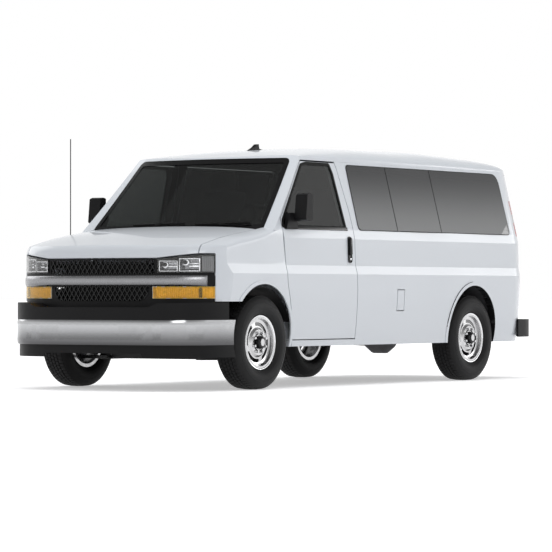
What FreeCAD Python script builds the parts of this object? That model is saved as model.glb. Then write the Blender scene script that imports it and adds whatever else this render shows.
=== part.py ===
import FreeCAD, Part
import math
import os

V = FreeCAD.Vector

# Driving dimensions in millimetres.
# X is across (+X the driver's side), Y is measured rearward from the front axle, Z is up from the ground.
# save() moves every piece so that the origin lies on the ground under the middle of the vehicle.
WHEELBASE = 3429
FRONT_OVERHANG = 1040
REAR_OVERHANG = 1223
FRONT_TRACK = 1748
REAR_TRACK = 1722

# Body side, as half widths at their heights
SILL_Z = 342
SILL_HALF = 955
BAND_LOW_Z = 940
BAND_HALF = 1005
BAND_HIGH_Z = 1010
UPPER_HALF = 992
CREASE_HALF = 985
CREASE_Z = 1236
BELT_Z = 1316
BELT_HALF = 970
GUTTER_HALF = 820
GUTTER_FRONT_Z = 1920
GUTTER_REAR_Z = 1898
ROOF_SPLIT_Z = 1893

# Roof centre line, station and height
ROOF_LINE = (
    (100, 1900), (600, 1910), (961, 1974), (1250, 2004), (1600, 2029), (2100, 2048), (2800, 2057),
    (3500, 2053), (4000, 2035), (4140, 2025), (4300, 2005), (4400, 1990), (4480, 1972), (4504, 1966),
)
ROOF_EDGE_SHARE = 0.68

# Wall thicknesses
SIDE_WALL = 60
UPPER_WALL = 45
ROOF_WALL = 38
REAR_WALL = 55
SKIN = 13
PANEL = 6
SHUT_GAP = 8.5

# Rear corner in plan: an ellipse from the body side to the rear face
CORNER_START = 4136
CORNER_X = 685
CORNER_REACH_X = 300
CORNER_REACH_Y = 370
REAR_FACE = 4504
REAR_LEAN_Z = 1320
REAR_LEAN = 60

# Windscreen, as a ruled surface between a base arc and a top arc
SCREEN_BASE_Z = 1300
SCREEN_BASE_Y = 160
SCREEN_BASE_SAG = 30
SCREEN_TOP_Z = 1919
SCREEN_TOP_Y = 671
SCREEN_TOP_SAG = 173
SCREEN_SAG_X = 950
SCREEN_BASE_HALF = 868
SCREEN_TOP_HALF = 757
SCREEN_FRAME = 46
GLASS = 6
GLASS_SET = 4

# Nose, hood and front end
# Hood: station, centre height, shoulder height and shoulder half width
HOOD_LINE = (
    (-1000, 1132, 1022, 985), (-865, 1163, 1053, 985), (-600, 1226, 1116, 986), (-300, 1288, 1178, 986),
    (0, 1325, 1228, 984), (200, 1338, 1285, 977), (330, 1344, 1309, 971), (540, 1352, 1314, 970),
)
SHOULDER_RISE = 0.86
NOSE_PLAN = (
    (0, -896), (300, -885), (520, -855), (700, -800), (850, -716), (945, -618), (992, -510),
    (1013, -380), (1022, -200),
)
NOSE_ROLL_Z = 1072
NOSE_ROLL_HIGH = 118
NOSE_ROLL_DEEP = 112
HOOD_HALF = 850
HOOD_REAR = 95
HOOD_THICK = 20
HOOD_FRONT_Z = 1062
HOOD_CORNER_Z = 1098
HOOD_AXIS_Y = 80
HOOD_AXIS_Z = 1268
FENDER_FRONT = -612
COWL_Z = 1262

# Front face pieces
GRILLE_HALF = 536
BAR_LOW_Z = 836
BAR_HIGH_Z = 920
BAR_HALF = 905
LAMP_LOW_Z = 943
TURN_INNER = 506
TURN_LOW_Z = 738
FACE_LOW_Z = 700
MESH_RISE = 34
MESH_BAR = 8

# Bumpers
BUMPER_PLAN = (
    (0, -1040), (300, -1032), (550, -1005), (720, -955), (850, -861), (930, -740), (975, -600),
    (996, -480), (1004, -360),
)
CHROME_LOW_Z = 367
CHROME_HIGH_Z = 567
PAD_HIGH_Z = 700
DAM_LOW_Z = 268
BUMPER_WALL = 14
REAR_BUMPER_LOW_Z = 380
REAR_BUMPER_HIGH_Z = 542

# Arches and wheels
FRONT_ARCH = (0, 420, 435)
REAR_ARCH = (3412, 430, 420)
ARCH_LIP = 32
ARCH_FLARE = 6
TYRE_RADIUS = 382
TYRE_WIDTH = 245
BEAD_RADIUS = 203
FLANGE_RADIUS = 221
FLANGE_X = 90
SPINDLE_RADIUS = 30
RUNNING_GAP = 0.3
KINGPIN_X = 840
LINER_RADIUS = 446
LINER_OUTER = 975
HOUSE_INNER = 540

# Front door outline, station and height, and its hinge
DOOR_LINE = (
    (475, 396), (425, 624), (352, 864), (335, 1047), (318, 1300), (318, 1392), (796, 1884),
    (1330, 1884), (1346, 1830), (1404, 1465), (1410, 1260), (1412, 1056), (1432, 809), (1445, 396),
)
DOOR_AXIS_X = 960
DOOR_AXIS_Y = 490
DOOR_HINGES_Z = (590, 1130)
POST_X = 885
POST_FRONT = 478
POST_DEEP = 82
PILLAR_END = 812
COWL_SIDE_X = 795
HINGE_PIN = 7
HINGE_BARREL = 11
HINGE_HIGH = 60
DOOR_WINDOW = (
    (330, 1328), (338, 1392), (800, 1850), (860, 1866), (1230, 1866), (1262, 1780), (1296, 1328),
)

# Side doors of the -X side and windows of both sides
SIDE_DOOR_START = 1462
SIDE_DOOR_SPLIT = 2132
SIDE_DOOR_END = 2880
SIDE_DOOR_LOW_Z = 400
SIDE_DOOR_HIGH_Z = 1884
SIDE_AXIS_X = 1003
WINDOW_LOW_Z = 1326
WINDOW_HIGH_Z = 1862
WINDOW_START = 1510
WINDOW_END = 4100
WINDOW_BAR = 34

# Fuel flap on the driver's side: stations, heights, and its hinge line's depth under the skin
FLAP = (2088, 2198, 634, 806)
FLAP_HINGE_DEEP = 7.5
FLAP_PIN = 2.5
FLAP_BARREL = 5

# Rear doors
REAR_DOOR_HALF = 838
REAR_AXIS_X = 852
REAR_AXIS_Y = 4468
REAR_DOOR_LOW_Z = 548
REAR_DOOR_HIGH_Z = 1872
TAIL_FRONT = 4262
TAIL_LOW_Z = 1304
TAIL_HIGH_Z = 1630
TAIL_DEEP = 26

# Floor and chassis
FLOOR_TOP_Z = 690
FLOOR_THICK = 40
RAIL_X = 415
RAIL_WIDE = 70
FRAME_FRONT = -1000
FRAME_REAR = 4500
SILL_INNER = 888
FLOOR_HALF = 930
HOUSING_X = 690
HUB_INNER = 800
STUB_END = 925
HOOD_HINGE_X = 600
STEER_X = 390
CUSHION_THICK = 130
MAST_X = 850


def box(x0, x1, y0, y1, z0, z1):
    """Box between two corners."""
    return Part.makeBox(x1 - x0, y1 - y0, z1 - z0, V(x0, y0, z0))


def face_of(points):
    """Flat face inside a closed line of points."""
    return Part.Face(Part.makePolygon(list(points) + [points[0]]))


def side_prism(outline, x0, x1):
    """Prism along X of an outline given as stations and heights."""
    return face_of([V(x0, y, z) for y, z in outline]).extrude(V(x1 - x0, 0, 0))


def plan_prism(outline, z0, z1):
    """Prism along Z of an outline seen from above."""
    return face_of([V(x, y, z0) for x, y in outline]).extrude(V(0, 0, z1 - z0))


def front_prism(outline, y0, y1):
    """Prism along Y of an outline seen from the front."""
    return face_of([V(x, y0, z) for x, z in outline]).extrude(V(0, y1 - y0, 0))


def rod(radius, start, end):
    """Round bar between two points."""
    return Part.makeCylinder(radius, (end - start).Length, start, end - start)


def revolved(profile, x, y, z):
    """Turned shape about a line along X, from offsets along it and radii."""
    face = face_of([V(x + along, y, z + radius) for along, radius in profile])
    return face.revolve(V(x, y, z), V(1, 0, 0), 360)


def fuse(shapes):
    """One shape of several that touch or overlap."""
    return shapes[0].multiFuse(shapes[1:]).removeSplitter()


def mirrored(shape):
    """The same shape on the other side of the vehicle."""
    return shape.mirror(V(0, 0, 0), V(1, 0, 0))


def moved(shape, x=0, y=0, z=0):
    """A moved copy."""
    copy = shape.copy()
    copy.translate(V(x, y, z))
    return copy


def both(shape):
    """A shape and its mirror image as two solids."""
    return Part.makeCompound(shape.Solids + mirrored(shape).Solids)


def line_value(line, at):
    """Height of a smooth line of stations at one station."""
    for (y0, z0), (y1, z1) in zip(line[:-1], line[1:]):
        if y0 <= at <= y1:
            return z0 + (z1 - z0) * (at - y0) / (y1 - y0)
    return line[0][1] if at < line[0][0] else line[-1][1]


def inset_outline(outline, gap):
    """Closed outline moved inward by a gap, or outward by a negative one."""
    wire = Part.makePolygon([V(0, y, z) for y, z in outline] + [V(0, *outline[0])])
    choices = [wire.makeOffset2D(step, 2) for step in (-gap, gap)]
    choices.sort(key=lambda offset: offset.BoundBox.DiagonalLength)
    chosen = choices[0] if gap > 0 else choices[1]
    return [(v.Y, v.Z) for v in chosen.OrderedVertexes]


def bezier(*poles):
    """Edge of a Bezier curve through its end poles."""
    curve = Part.BezierCurve()
    curve.setPoles(list(poles))
    return curve.toShape()


def spline(points):
    """Edge of a smooth curve through points."""
    curve = Part.BSplineCurve()
    curve.interpolate(points)
    return curve.toShape()


# Outer form of the body


def corner_share(y, inset):
    """Share of the full width that is left where the rear corner closes in."""
    reach_x = CORNER_REACH_X - inset
    reach_y = CORNER_REACH_Y - inset
    along = min(max((y - CORNER_START) / reach_y, 0), 0.999)
    return (CORNER_X + reach_x * math.sqrt(1 - along * along)) / (CORNER_X + reach_x)


def cabin_section(y, side, upper, top):
    """Closed section of the cabin at a station, moved inward by three wall thicknesses."""
    share = corner_share(y, side)
    crown_z = line_value(ROOF_LINE, y) - top
    along = (y - SCREEN_TOP_Y) / (REAR_FACE - SCREEN_TOP_Y)
    gutter_z = GUTTER_FRONT_Z + (GUTTER_REAR_Z - GUTTER_FRONT_Z) * along - top
    edge_z = gutter_z + ROOF_EDGE_SHARE * (crown_z - gutter_z)
    flat_z = (32 * crown_z - 2 * gutter_z - 10 * edge_z) / 20
    base_z = SILL_Z - side

    def half(sign):
        lower, middle = side, (side + upper) / 2
        points = [
            (SILL_HALF - lower, base_z), (975 - lower, 470), (1004 - lower, 650),
            (BAND_HALF - lower, BAND_LOW_Z), (UPPER_HALF - lower, BAND_HIGH_Z),
            (UPPER_HALF - 3 - middle, 1110), (CREASE_HALF + 2 - middle, 1190),
            (CREASE_HALF - middle, CREASE_Z), (BELT_HALF - upper, BELT_Z), (GUTTER_HALF - upper, gutter_z),
        ]
        p = [V(sign * x * share, y, z) for x, z in points]
        lines = [Part.makeLine(a, b) for a, b in ((p[3], p[4]), (p[7], p[8]), (p[8], p[9]))]
        return [bezier(*p[0:4]), lines[0], bezier(*p[4:8]), lines[1], lines[2]]

    right = half(1)
    left = half(-1)
    roof_x = (GUTTER_HALF - upper, GUTTER_HALF - upper - 3, 0.78 * (GUTTER_HALF - upper))
    roof_z = (gutter_z, edge_z, flat_z)
    poles = [V(x * share, y, z) for x, z in zip(roof_x, roof_z)]
    poles += [V(-x * share, y, z) for x, z in zip(reversed(roof_x), reversed(roof_z))]
    base = Part.makeLine(left[0].Vertexes[0].Point, right[0].Vertexes[0].Point)
    return Part.Wire([base] + right + [bezier(*poles)] + left[::-1])


def cabin_form(side, upper, top, rear):
    """Solid of the cabin, from ahead of the windscreen to the rear face."""
    last = REAR_FACE - rear
    straight = [100, 400, 700, 961, 1250, 1600, 2100, 2800, 3500, 4000, CORNER_START - 20]
    shares = (0.12, 0.35, 0.58, 0.76, 0.89, 0.97)
    closing = [CORNER_START + share * (CORNER_REACH_Y - rear) for share in shares]
    stations = straight + closing + [last]
    form = Part.makeLoft([cabin_section(y, side, upper, top) for y in stations], True, False)
    lean = [
        (last, SILL_Z - 200), (last, REAR_LEAN_Z), (last - REAR_LEAN, ROOF_SPLIT_Z),
        (last - 2.4 * REAR_LEAN, 2000),
        (last - 5 * REAR_LEAN, 2100), (last + 200, 2100), (last + 200, SILL_Z - 200),
    ]
    return form.cut(side_prism(lean, -1100, 1100))


def screen_station(x, z):
    """Station of the windscreen's outer surface at a place seen from the front."""
    bow = (x / SCREEN_SAG_X) ** 2
    base = SCREEN_BASE_Y + SCREEN_BASE_SAG * bow
    top = SCREEN_TOP_Y + SCREEN_TOP_SAG * bow
    return base + (z - SCREEN_BASE_Z) / (SCREEN_TOP_Z - SCREEN_BASE_Z) * (top - base)


def ahead_of_screen(setback):
    """Everything ahead of the windscreen's surface moved rearward by a setback."""
    wires = []
    for z in (SCREEN_BASE_Z - 300, SCREEN_TOP_Z + 200):
        curve = spline([V(x, screen_station(x, z) + setback, z) for x in range(-1200, 1201, 300)])
        first, last = curve.Vertexes[0].Point, curve.Vertexes[-1].Point
        corners = [last, V(last.x, -1500, z), V(first.x, -1500, z), first]
        wires.append(Part.Wire([curve] + [Part.makeLine(a, b) for a, b in zip(corners[:-1], corners[1:])]))
    return Part.makeLoft(wires, True, True)


def nose_section(y, top_z, shoulder_z, upper_half):
    """Closed section of the front end at a station."""
    edge_z = shoulder_z + SHOULDER_RISE * (top_z - shoulder_z)
    flat_z = (32 * top_z - 2 * shoulder_z - 10 * edge_z) / 20

    def half(sign):
        points = [
            (SILL_HALF, SILL_Z), (975, 470), (1004, 650), (BAND_HALF, BAND_LOW_Z), (UPPER_HALF, BAND_HIGH_Z),
            (UPPER_HALF - 3, BAND_HIGH_Z + 8), (upper_half + 2, shoulder_z - 12), (upper_half, shoulder_z),
        ]
        p = [V(sign * x, y, z) for x, z in points]
        return [bezier(*p[0:4]), Part.makeLine(p[3], p[4]), bezier(*p[4:8])]

    right = half(1)
    left = half(-1)
    top = ((upper_half, shoulder_z), (upper_half - 10, edge_z), (640, flat_z))
    poles = [V(x, y, z) for x, z in top] + [V(-x, y, z) for x, z in reversed(top)]
    base = Part.makeLine(left[0].Vertexes[0].Point, right[0].Vertexes[0].Point)
    return Part.Wire([base] + right + [bezier(*poles)] + left[::-1])


def plan_wire(plan, z, shift, back):
    """Closed wire at one height: a mirrored front curve moved rearward, closed at a rear station."""
    points = [V(-x, y + shift, z) for x, y in reversed(plan)] + [V(x, y + shift, z) for x, y in plan[1:]]
    curve = spline(points)
    first, last = points[0], points[-1]
    corners = [last, V(last.x, back, z), V(first.x, back, z), first]
    return Part.Wire([curve] + [Part.makeLine(a, b) for a, b in zip(corners[:-1], corners[1:])])


def plan_solid(plan, z0, z1, shift=0, back=560):
    """Upright solid behind a mirrored front curve."""
    return Part.Face(plan_wire(plan, z0, shift, back)).extrude(V(0, 0, z1 - z0))


def nose_form():
    """Solid of the front end, with its leading edge rolled over."""
    form = Part.makeLoft([nose_section(*entry) for entry in HOOD_LINE], True, False)
    roll = []
    for degrees in (0, 17, 34, 51, 68, 84):
        angle = math.radians(degrees)
        height = NOSE_ROLL_Z + NOSE_ROLL_HIGH * math.sin(angle)
        roll.append(plan_wire(NOSE_PLAN, height, NOSE_ROLL_DEEP * (1 - math.cos(angle)), 560))
    last_z = NOSE_ROLL_Z + NOSE_ROLL_HIGH * math.sin(math.radians(84))
    last_shift = NOSE_ROLL_DEEP * (1 - math.cos(math.radians(84)))
    top = [plan_wire(NOSE_PLAN, last_z, last_shift, 560), plan_wire(NOSE_PLAN, 1420, last_shift + 330, 560)]
    front = plan_solid(NOSE_PLAN, SILL_Z - 10, NOSE_ROLL_Z)
    shape = fuse([front, Part.makeLoft(roll, True, False), Part.makeLoft(top, True, True)])
    return form.common(shape)


def arch_cut(arch, x0, x1, grow=0):
    """Round cutter of a wheel arch between two half widths."""
    y, z, radius = arch
    return Part.makeCylinder(radius + grow, x1 - x0, V(x0, y, z), V(1, 0, 0))


NODES = {}


def save(name, shape):
    """Keep one named piece, placed from the vehicle's middle."""
    middle = (WHEELBASE + REAR_OVERHANG - FRONT_OVERHANG) / 2
    NODES[name] = moved(shape, 0, -middle)


OUTER = cabin_form(0, 0, 0, 0)
INNER = cabin_form(SIDE_WALL, UPPER_WALL, ROOF_WALL, REAR_WALL)
SHELL = OUTER.cut(INNER.cut(ahead_of_screen(SCREEN_FRAME))).cut(ahead_of_screen(0))
NOSE = nose_form()

# Front doors


def door_prism(gap, front_extra=0):
    """Prism of the front door's outline on the driver's side, inset by a gap."""
    outline = inset_outline(DOOR_LINE, gap)
    prism = side_prism(outline, 700, 1100)
    if front_extra:
        prism = prism.cut(box(600, 1200, -600, DOOR_AXIS_Y + front_extra, 0, SCREEN_BASE_Z + 92))
    return prism


def window_pane(prism, side=1):
    """Pane that fills a window outline, set a little inside the body's skin."""
    outer = moved(OUTER, -side * GLASS_SET).common(prism)
    return outer.cut(moved(OUTER, -side * (GLASS_SET + GLASS)))


def front_door():
    """Front door of the driver's side: thin skin with a thicker inner part behind the hinge."""
    skin = OUTER.common(door_prism(SHUT_GAP / 2)).cut(moved(OUTER, -SKIN))
    core = SHELL.common(door_prism(SHUT_GAP / 2 + 14, 16))
    return fuse([skin, core])


window = side_prism(DOOR_WINDOW, 700, 1100)
door = front_door().cut(window)
pane = window_pane(window)
door_leaf = []
post_leaf = []
for z in DOOR_HINGES_Z:
    foot = V(DOOR_AXIS_X, DOOR_AXIS_Y, z)
    rise = V(0, 0, HINGE_HIGH)
    post_leaf.append(rod(HINGE_PIN, foot - V(0, 0, 4), foot + rise + V(0, 0, 4)))
    for end in (-1, 1):
        mid = z + HINGE_HIGH / 2 + end * (HINGE_HIGH / 2 - 6)
        barrel = Part.makeCylinder(HINGE_BARREL, 12, V(DOOR_AXIS_X, DOOR_AXIS_Y, mid - 6))
        arm = box(POST_X, DOOR_AXIS_X, DOOR_AXIS_Y - 7, DOOR_AXIS_Y + 7, mid - 6, mid + 6)
        post_leaf.append(barrel)
        post_leaf.append(arm)
    low = z + 12 + RUNNING_GAP
    high = z + HINGE_HIGH - 12 - RUNNING_GAP
    barrel = Part.makeCylinder(HINGE_BARREL, high - low, V(DOOR_AXIS_X, DOOR_AXIS_Y, low))
    strap = box(DOOR_AXIS_X - 8, DOOR_AXIS_X + 8, DOOR_AXIS_Y, DOOR_AXIS_Y + 40, low, high)
    bore = Part.makeCylinder(HINGE_PIN + RUNNING_GAP, high - low + 20, V(DOOR_AXIS_X, DOOR_AXIS_Y, low - 10))
    door_leaf.append(barrel.fuse(strap).cut(bore))
door = fuse([door] + door_leaf)
save("door_left", door)
save("door_right", mirrored(door))
save("door_left_glass", pane)
save("door_right_glass", mirrored(pane))


# Mirrors


def mirror_unit():
    """Mirror housing on its arm, on a foot at the front of the door's window."""
    outline = [(455, 1385), (500, 1372), (560, 1376), (560, 1592), (520, 1600), (478, 1588)]
    housing = side_prism(outline, 998, 1112)
    housing = housing.makeFillet(14, [e for e in housing.Edges if abs(e.tangentAt(e.FirstParameter).x) > 0.9])
    arm = front_prism([(946, 1388), (1010, 1392), (1010, 1428), (940, 1424)], 486, 530)
    foot = side_prism([(352, 1306), (520, 1306), (520, 1440), (398, 1440)], 930, 990)
    return fuse([housing, arm, foot]).cut(OUTER)


mirror = mirror_unit()
save("mirror_left", mirror)
save("mirror_right", mirrored(mirror))

# Side walls

door_sweep = math.hypot(DOOR_AXIS_Y - DOOR_LINE[4][0], BAND_HALF - DOOR_AXIS_X) + 4
door_top = box(600, 1100, 800, 1330, 1860, ROOF_SPLIT_Z + 5)
front_opening = side_prism(inset_outline(DOOR_LINE, -SHUT_GAP / 2), 600, 1100).fuse(door_top)
rear_half = REAR_DOOR_HALF + SHUT_GAP / 2
rear_opening = box(-rear_half, rear_half, REAR_FACE - 190, REAR_FACE + 50, SILL_Z - 100, REAR_DOOR_HIGH_Z)
behind_door = SIDE_DOOR_START - SHUT_GAP / 2
front_wall = SHELL.common(box(600, 1100, POST_FRONT, behind_door, SILL_Z, ROOF_SPLIT_Z)).cut(front_opening)
front_wall = front_wall.cut(box(600, 1200, 0, DOOR_LINE[7][0] - 10, BAND_LOW_Z, ROOF_SPLIT_Z + 10))


def window_outline(y0, y1):
    """Outline of one fixed side window with its corners cut."""
    cut = 26
    return [
        (y0, WINDOW_LOW_Z + cut), (y0 + cut, WINDOW_LOW_Z),
        (y1 - cut, WINDOW_LOW_Z), (y1, WINDOW_LOW_Z + cut),
        (y1, WINDOW_HIGH_Z - cut), (y1 - cut, WINDOW_HIGH_Z),
        (y0 + cut, WINDOW_HIGH_Z), (y0, WINDOW_HIGH_Z - cut),
    ]


WINDOW_SPANS = (
    (WINDOW_START, SIDE_DOOR_SPLIT - WINDOW_BAR / 2),
    (SIDE_DOOR_SPLIT + WINDOW_BAR / 2, SIDE_DOOR_END - WINDOW_BAR / 2),
    (SIDE_DOOR_END + WINDOW_BAR / 2, WINDOW_END),
)
window_prisms = [side_prism(window_outline(*span), 700, 1100) for span in WINDOW_SPANS]
panes = [window_pane(prism) for prism in window_prisms]


def wall_between(y0, y1, z1, cutters):
    """Side wall between two stations up to a height, with openings cut."""
    wall = SHELL.common(box(0 if y1 > REAR_FACE else 600, 1100, y0, y1, SILL_Z, z1))
    for cutter in cutters:
        wall = wall.cut(cutter)
    return wall


def arch_lip(arch, form):
    """Flared lip round a wheel arch, standing a little proud of the skin."""
    ring = arch_cut(arch, 900, 1100, ARCH_LIP).cut(arch_cut(arch, 900, 1100))
    lip = moved(form, ARCH_FLARE).common(ring).cut(moved(form, -PANEL))
    return lip.common(box(900, 1100, -900, 4300, SILL_Z, 1100))


def skin_x(y, z):
    """Half width of the body's skin at a station and a height."""
    return Part.makeLine(V(0, y, z), V(1200, y, z)).common(OUTER).BoundBox.XMax


rear_cutters = [rear_opening, arch_cut(REAR_ARCH, 600, 1100)]
left_wall = wall_between(behind_door, REAR_FACE + 10, ROOF_SPLIT_Z, rear_cutters + window_prisms)
side_left = fuse([front_wall, left_wall, arch_lip(REAR_ARCH, OUTER)])
flap_y0, flap_y1, flap_z0, flap_z1 = FLAP
flap_axis_y = flap_y0 + FLAP_BARREL
flap_low = V(skin_x(flap_axis_y, flap_z0) - FLAP_HINGE_DEEP, flap_axis_y, flap_z0)
flap_high = V(skin_x(flap_axis_y, flap_z1) - FLAP_HINGE_DEEP, flap_axis_y, flap_z1)
flap_rise = (flap_high - flap_low) * (12 / (flap_z1 - flap_z0))
pocket_x = flap_low.x - 22
pocket = box(pocket_x, 1100, flap_y0 - 10, flap_y1 + 8, flap_z0 - 8, flap_z1 + 8)
flap_pin = rod(FLAP_PIN, flap_low - flap_rise, flap_high + flap_rise)
filler = rod(24, V(pocket_x - 2, flap_y1 - 44, flap_z0 + 86), V(pocket_x + 12, flap_y1 - 44, flap_z0 + 86))
side_left = fuse([side_left.cut(pocket), flap_pin, filler])
flap = OUTER.common(box(960, 1100, flap_y0, flap_y1, flap_z0, flap_z1)).cut(moved(OUTER, -FLAP_BARREL))
flap_barrel = rod(FLAP_BARREL, flap_low, flap_high)
flap_bore = rod(FLAP_PIN + RUNNING_GAP, flap_low - flap_rise, flap_high + flap_rise)
save("fuel_flap", fuse([flap, flap_barrel]).cut(flap_bore))

# Side doors of the other side, made on the driver's side and mirrored


def side_door_prism(y0, y1, extra):
    """Prism of a side door between two stations, inset by an extra margin."""
    edge = SHUT_GAP / 2 + extra
    return box(700, 1100, y0 + edge, y1 - edge, SIDE_DOOR_LOW_Z + extra, SIDE_DOOR_HIGH_Z - extra)


def side_door(y0, y1, span):
    """Side door with its window cut."""
    skin = OUTER.common(side_door_prism(y0, y1, 0)).cut(moved(OUTER, -SKIN))
    core = SHELL.common(side_door_prism(y0, y1, 14))
    return fuse([skin, core]).cut(side_prism(window_outline(*span), 700, 1100))


front_leaf = side_door(SIDE_DOOR_START, SIDE_DOOR_SPLIT, WINDOW_SPANS[0])
rear_leaf = side_door(SIDE_DOOR_SPLIT, SIDE_DOOR_END, WINDOW_SPANS[1])
cargo_end = SIDE_DOOR_END + SHUT_GAP / 2
sill_wall = wall_between(behind_door, cargo_end, SIDE_DOOR_LOW_Z - SHUT_GAP, [rear_cutters[1]])
cargo_parts = [front_wall, sill_wall]
cargo_parts.append(wall_between(cargo_end, REAR_FACE + 10, ROOF_SPLIT_Z, rear_cutters + window_prisms[2:]))
cargo_side = fuse(cargo_parts + [arch_lip(REAR_ARCH, OUTER)])


def outside_hinge(x, y, z, toward, reach):
    """Exposed hinge: a pin with two fixed barrels and one moving barrel, and their two straps."""
    fixed = [rod(5, V(x, y, z), V(x, y, z + 84))]
    for low in (z, z + 56):
        fixed.append(Part.makeCylinder(9, 28, V(x, y, low)))
        fixed.append(box(x - 22, x, min(y, y - reach * toward), max(y, y - reach * toward), low, low + 28))
    barrel = Part.makeCylinder(9, 28 - 2 * RUNNING_GAP, V(x, y, z + 28 + RUNNING_GAP))
    strap = box(x - 22, x, min(y, y + 34 * toward), max(y, y + 34 * toward), z + 28.3, z + 55.7)
    bore = Part.makeCylinder(5 + RUNNING_GAP, 40, V(x, y, z + 22))
    clear = Part.makeCylinder(9 + RUNNING_GAP, 28, V(x, y, z + 28))
    pin = rod(5, V(x, y, z), V(x, y, z + 84))
    return Part.makeCompound(fixed).cut(clear.cut(pin)), barrel.fuse(strap).cut(bore)


fixed_hinges = []
for leaf_name, y, toward, reach in (("front", SIDE_DOOR_START, 1, 19), ("rear", SIDE_DOOR_END, -1, 34)):
    for z in (560, 1130):
        fixed, leaf = outside_hinge(SIDE_AXIS_X, y, z, toward, reach)
        fixed_hinges += fixed.Solids
        if leaf_name == "front":
            front_leaf = front_leaf.fuse(leaf)
        else:
            rear_leaf = rear_leaf.fuse(leaf)
save("side_door_front", mirrored(front_leaf))
save("side_door_rear", mirrored(rear_leaf))
save("side_door_front_glass", mirrored(panes[0]))
save("side_door_rear_glass", mirrored(panes[1]))
body_panes = [solid for pane in panes for solid in pane.Solids]
save("side_windows", Part.makeCompound(body_panes + mirrored(panes[2]).Solids))

# Rear doors

rear_region = box(
    SHUT_GAP / 2, REAR_DOOR_HALF - SHUT_GAP / 2, REAR_FACE - 190, REAR_FACE + 50,
    REAR_DOOR_LOW_Z + SHUT_GAP, REAR_DOOR_HIGH_Z - SHUT_GAP,
)
rear_window = front_prism([(70, 1330), (640, 1330), (610, 1800), (70, 1800)], REAR_FACE - 200, REAR_FACE + 60)
rear_door = SHELL.common(rear_region).cut(rear_window)
rear_pane = moved(OUTER, 0, -GLASS_SET).common(rear_window).cut(moved(OUTER, 0, -GLASS_SET - GLASS))
rear_fixed = []
for z in (640, 1180):
    foot = V(REAR_AXIS_X, REAR_AXIS_Y, z)
    rear_fixed.append(rod(5, foot, foot + V(0, 0, 84)))
    body_strap = [(846, 4462), (858, 4474), (892, 4412), (872, 4396)]
    door_strap = [(REAR_AXIS_X, 4460), (REAR_AXIS_X, 4476), (806, 4486), (798, 4462)]
    for low in (z, z + 56):
        rear_fixed.append(Part.makeCylinder(9, 28, foot + V(0, 0, low - z)))
        rear_fixed.append(plan_prism(body_strap, low, low + 28))
    low, high = z + 28 + RUNNING_GAP, z + 56 - RUNNING_GAP
    leaf = Part.makeCylinder(9, high - low, V(REAR_AXIS_X, REAR_AXIS_Y, low))
    leaf = leaf.fuse(plan_prism(door_strap, low, high))
    bore = Part.makeCylinder(5 + RUNNING_GAP, 60, foot + V(0, 0, 12))
    rear_door = rear_door.fuse(leaf.cut(bore))
save("rear_door_left", rear_door)
save("rear_door_right", mirrored(rear_door))
save("rear_door_left_glass", rear_pane)
save("rear_door_right_glass", mirrored(rear_pane))

# Roof, with its drip edge

roof = SHELL.common(box(-1100, 1100, 0, REAR_FACE + 10, ROOF_SPLIT_Z, 2200))

# Inner sills and tail lamps, which finish the side walls


def sill_wall(y0, y1):
    """Inner sill wall under the floor, joined to the rocker by a bottom plate."""
    wall = box(SILL_INNER - 20, SILL_INNER, y0, y1, SILL_Z, FLOOR_TOP_Z - FLOOR_THICK)
    foot = box(SILL_INNER - 20, SILL_HALF - 10, y0, y1, SILL_Z, SILL_Z + 14)
    return wall.fuse(foot)


lamp_region = box(REAR_DOOR_HALF + SHUT_GAP, 1050, TAIL_FRONT, REAR_FACE, TAIL_LOW_Z, TAIL_HIGH_Z)
tail_lamp = OUTER.common(lamp_region).cut(moved(OUTER, -TAIL_DEEP, -TAIL_DEEP))
save("tail_lamps", both(tail_lamp))
front_sill = sill_wall(POST_FRONT + POST_DEEP, REAR_ARCH[0] - REAR_ARCH[2] - 24)
save("side_left", fuse([side_left.cut(tail_lamp), front_sill] + rear_fixed))
save("side_right", mirrored(fuse([cargo_side.cut(tail_lamp), front_sill] + fixed_hinges + rear_fixed)))

# Windscreen, its frame and the front bulkhead

screen_outline = [(-SCREEN_BASE_HALF, SCREEN_BASE_Z - 8), (SCREEN_BASE_HALF, SCREEN_BASE_Z - 8)]
screen_outline += [(SCREEN_TOP_HALF, 1880), (600, 1894), (300, 1905), (0, 1909), (-300, 1905), (-600, 1894)]
screen_outline.append((-SCREEN_TOP_HALF, 1880))
screen_prism = front_prism(screen_outline, -200, 1200)
glass_front = ahead_of_screen(GLASS_SET)
save("windscreen", OUTER.common(screen_prism).common(ahead_of_screen(GLASS_SET + GLASS)).cut(glass_front))
pillars = SHELL.common(box(-1100, 1100, 0, PILLAR_END, COWL_Z - 32, ROOF_SPLIT_Z)).cut(screen_prism)
pillar_side = box(945, 1200, 0, PILLAR_END, COWL_Z - 40, BELT_Z - 20)
pillars = pillars.cut(pillar_side).cut(mirrored(pillar_side))
sweep = Part.makeCylinder(door_sweep, SCREEN_BASE_Z + 100, V(DOOR_AXIS_X, DOOR_AXIS_Y, 0))
pillars = pillars.cut(front_opening).cut(mirrored(front_opening)).cut(sweep).cut(mirrored(sweep))
cowl_beam = box(-935, 935, 140, 215, 1190, COWL_Z)
firewall = box(-COWL_SIDE_X, COWL_SIDE_X, 170, 215, FLOOR_TOP_Z - FLOOR_THICK, 1190)
cowl_side = box(COWL_SIDE_X - 25, COWL_SIDE_X, 215, POST_FRONT + POST_DEEP, 560, COWL_Z)
wheelhouse = arch_cut((0, TYRE_RADIUS, LINER_RADIUS + 5), HOUSE_INNER - 6, 1100)
wheelhouses = wheelhouse.fuse(mirrored(wheelhouse))
post = box(COWL_SIDE_X - 25, POST_X, POST_FRONT, POST_FRONT + POST_DEEP, SILL_Z, COWL_Z)
posts = [cowl_side, post] + post_leaf
hood_arms = []
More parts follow.
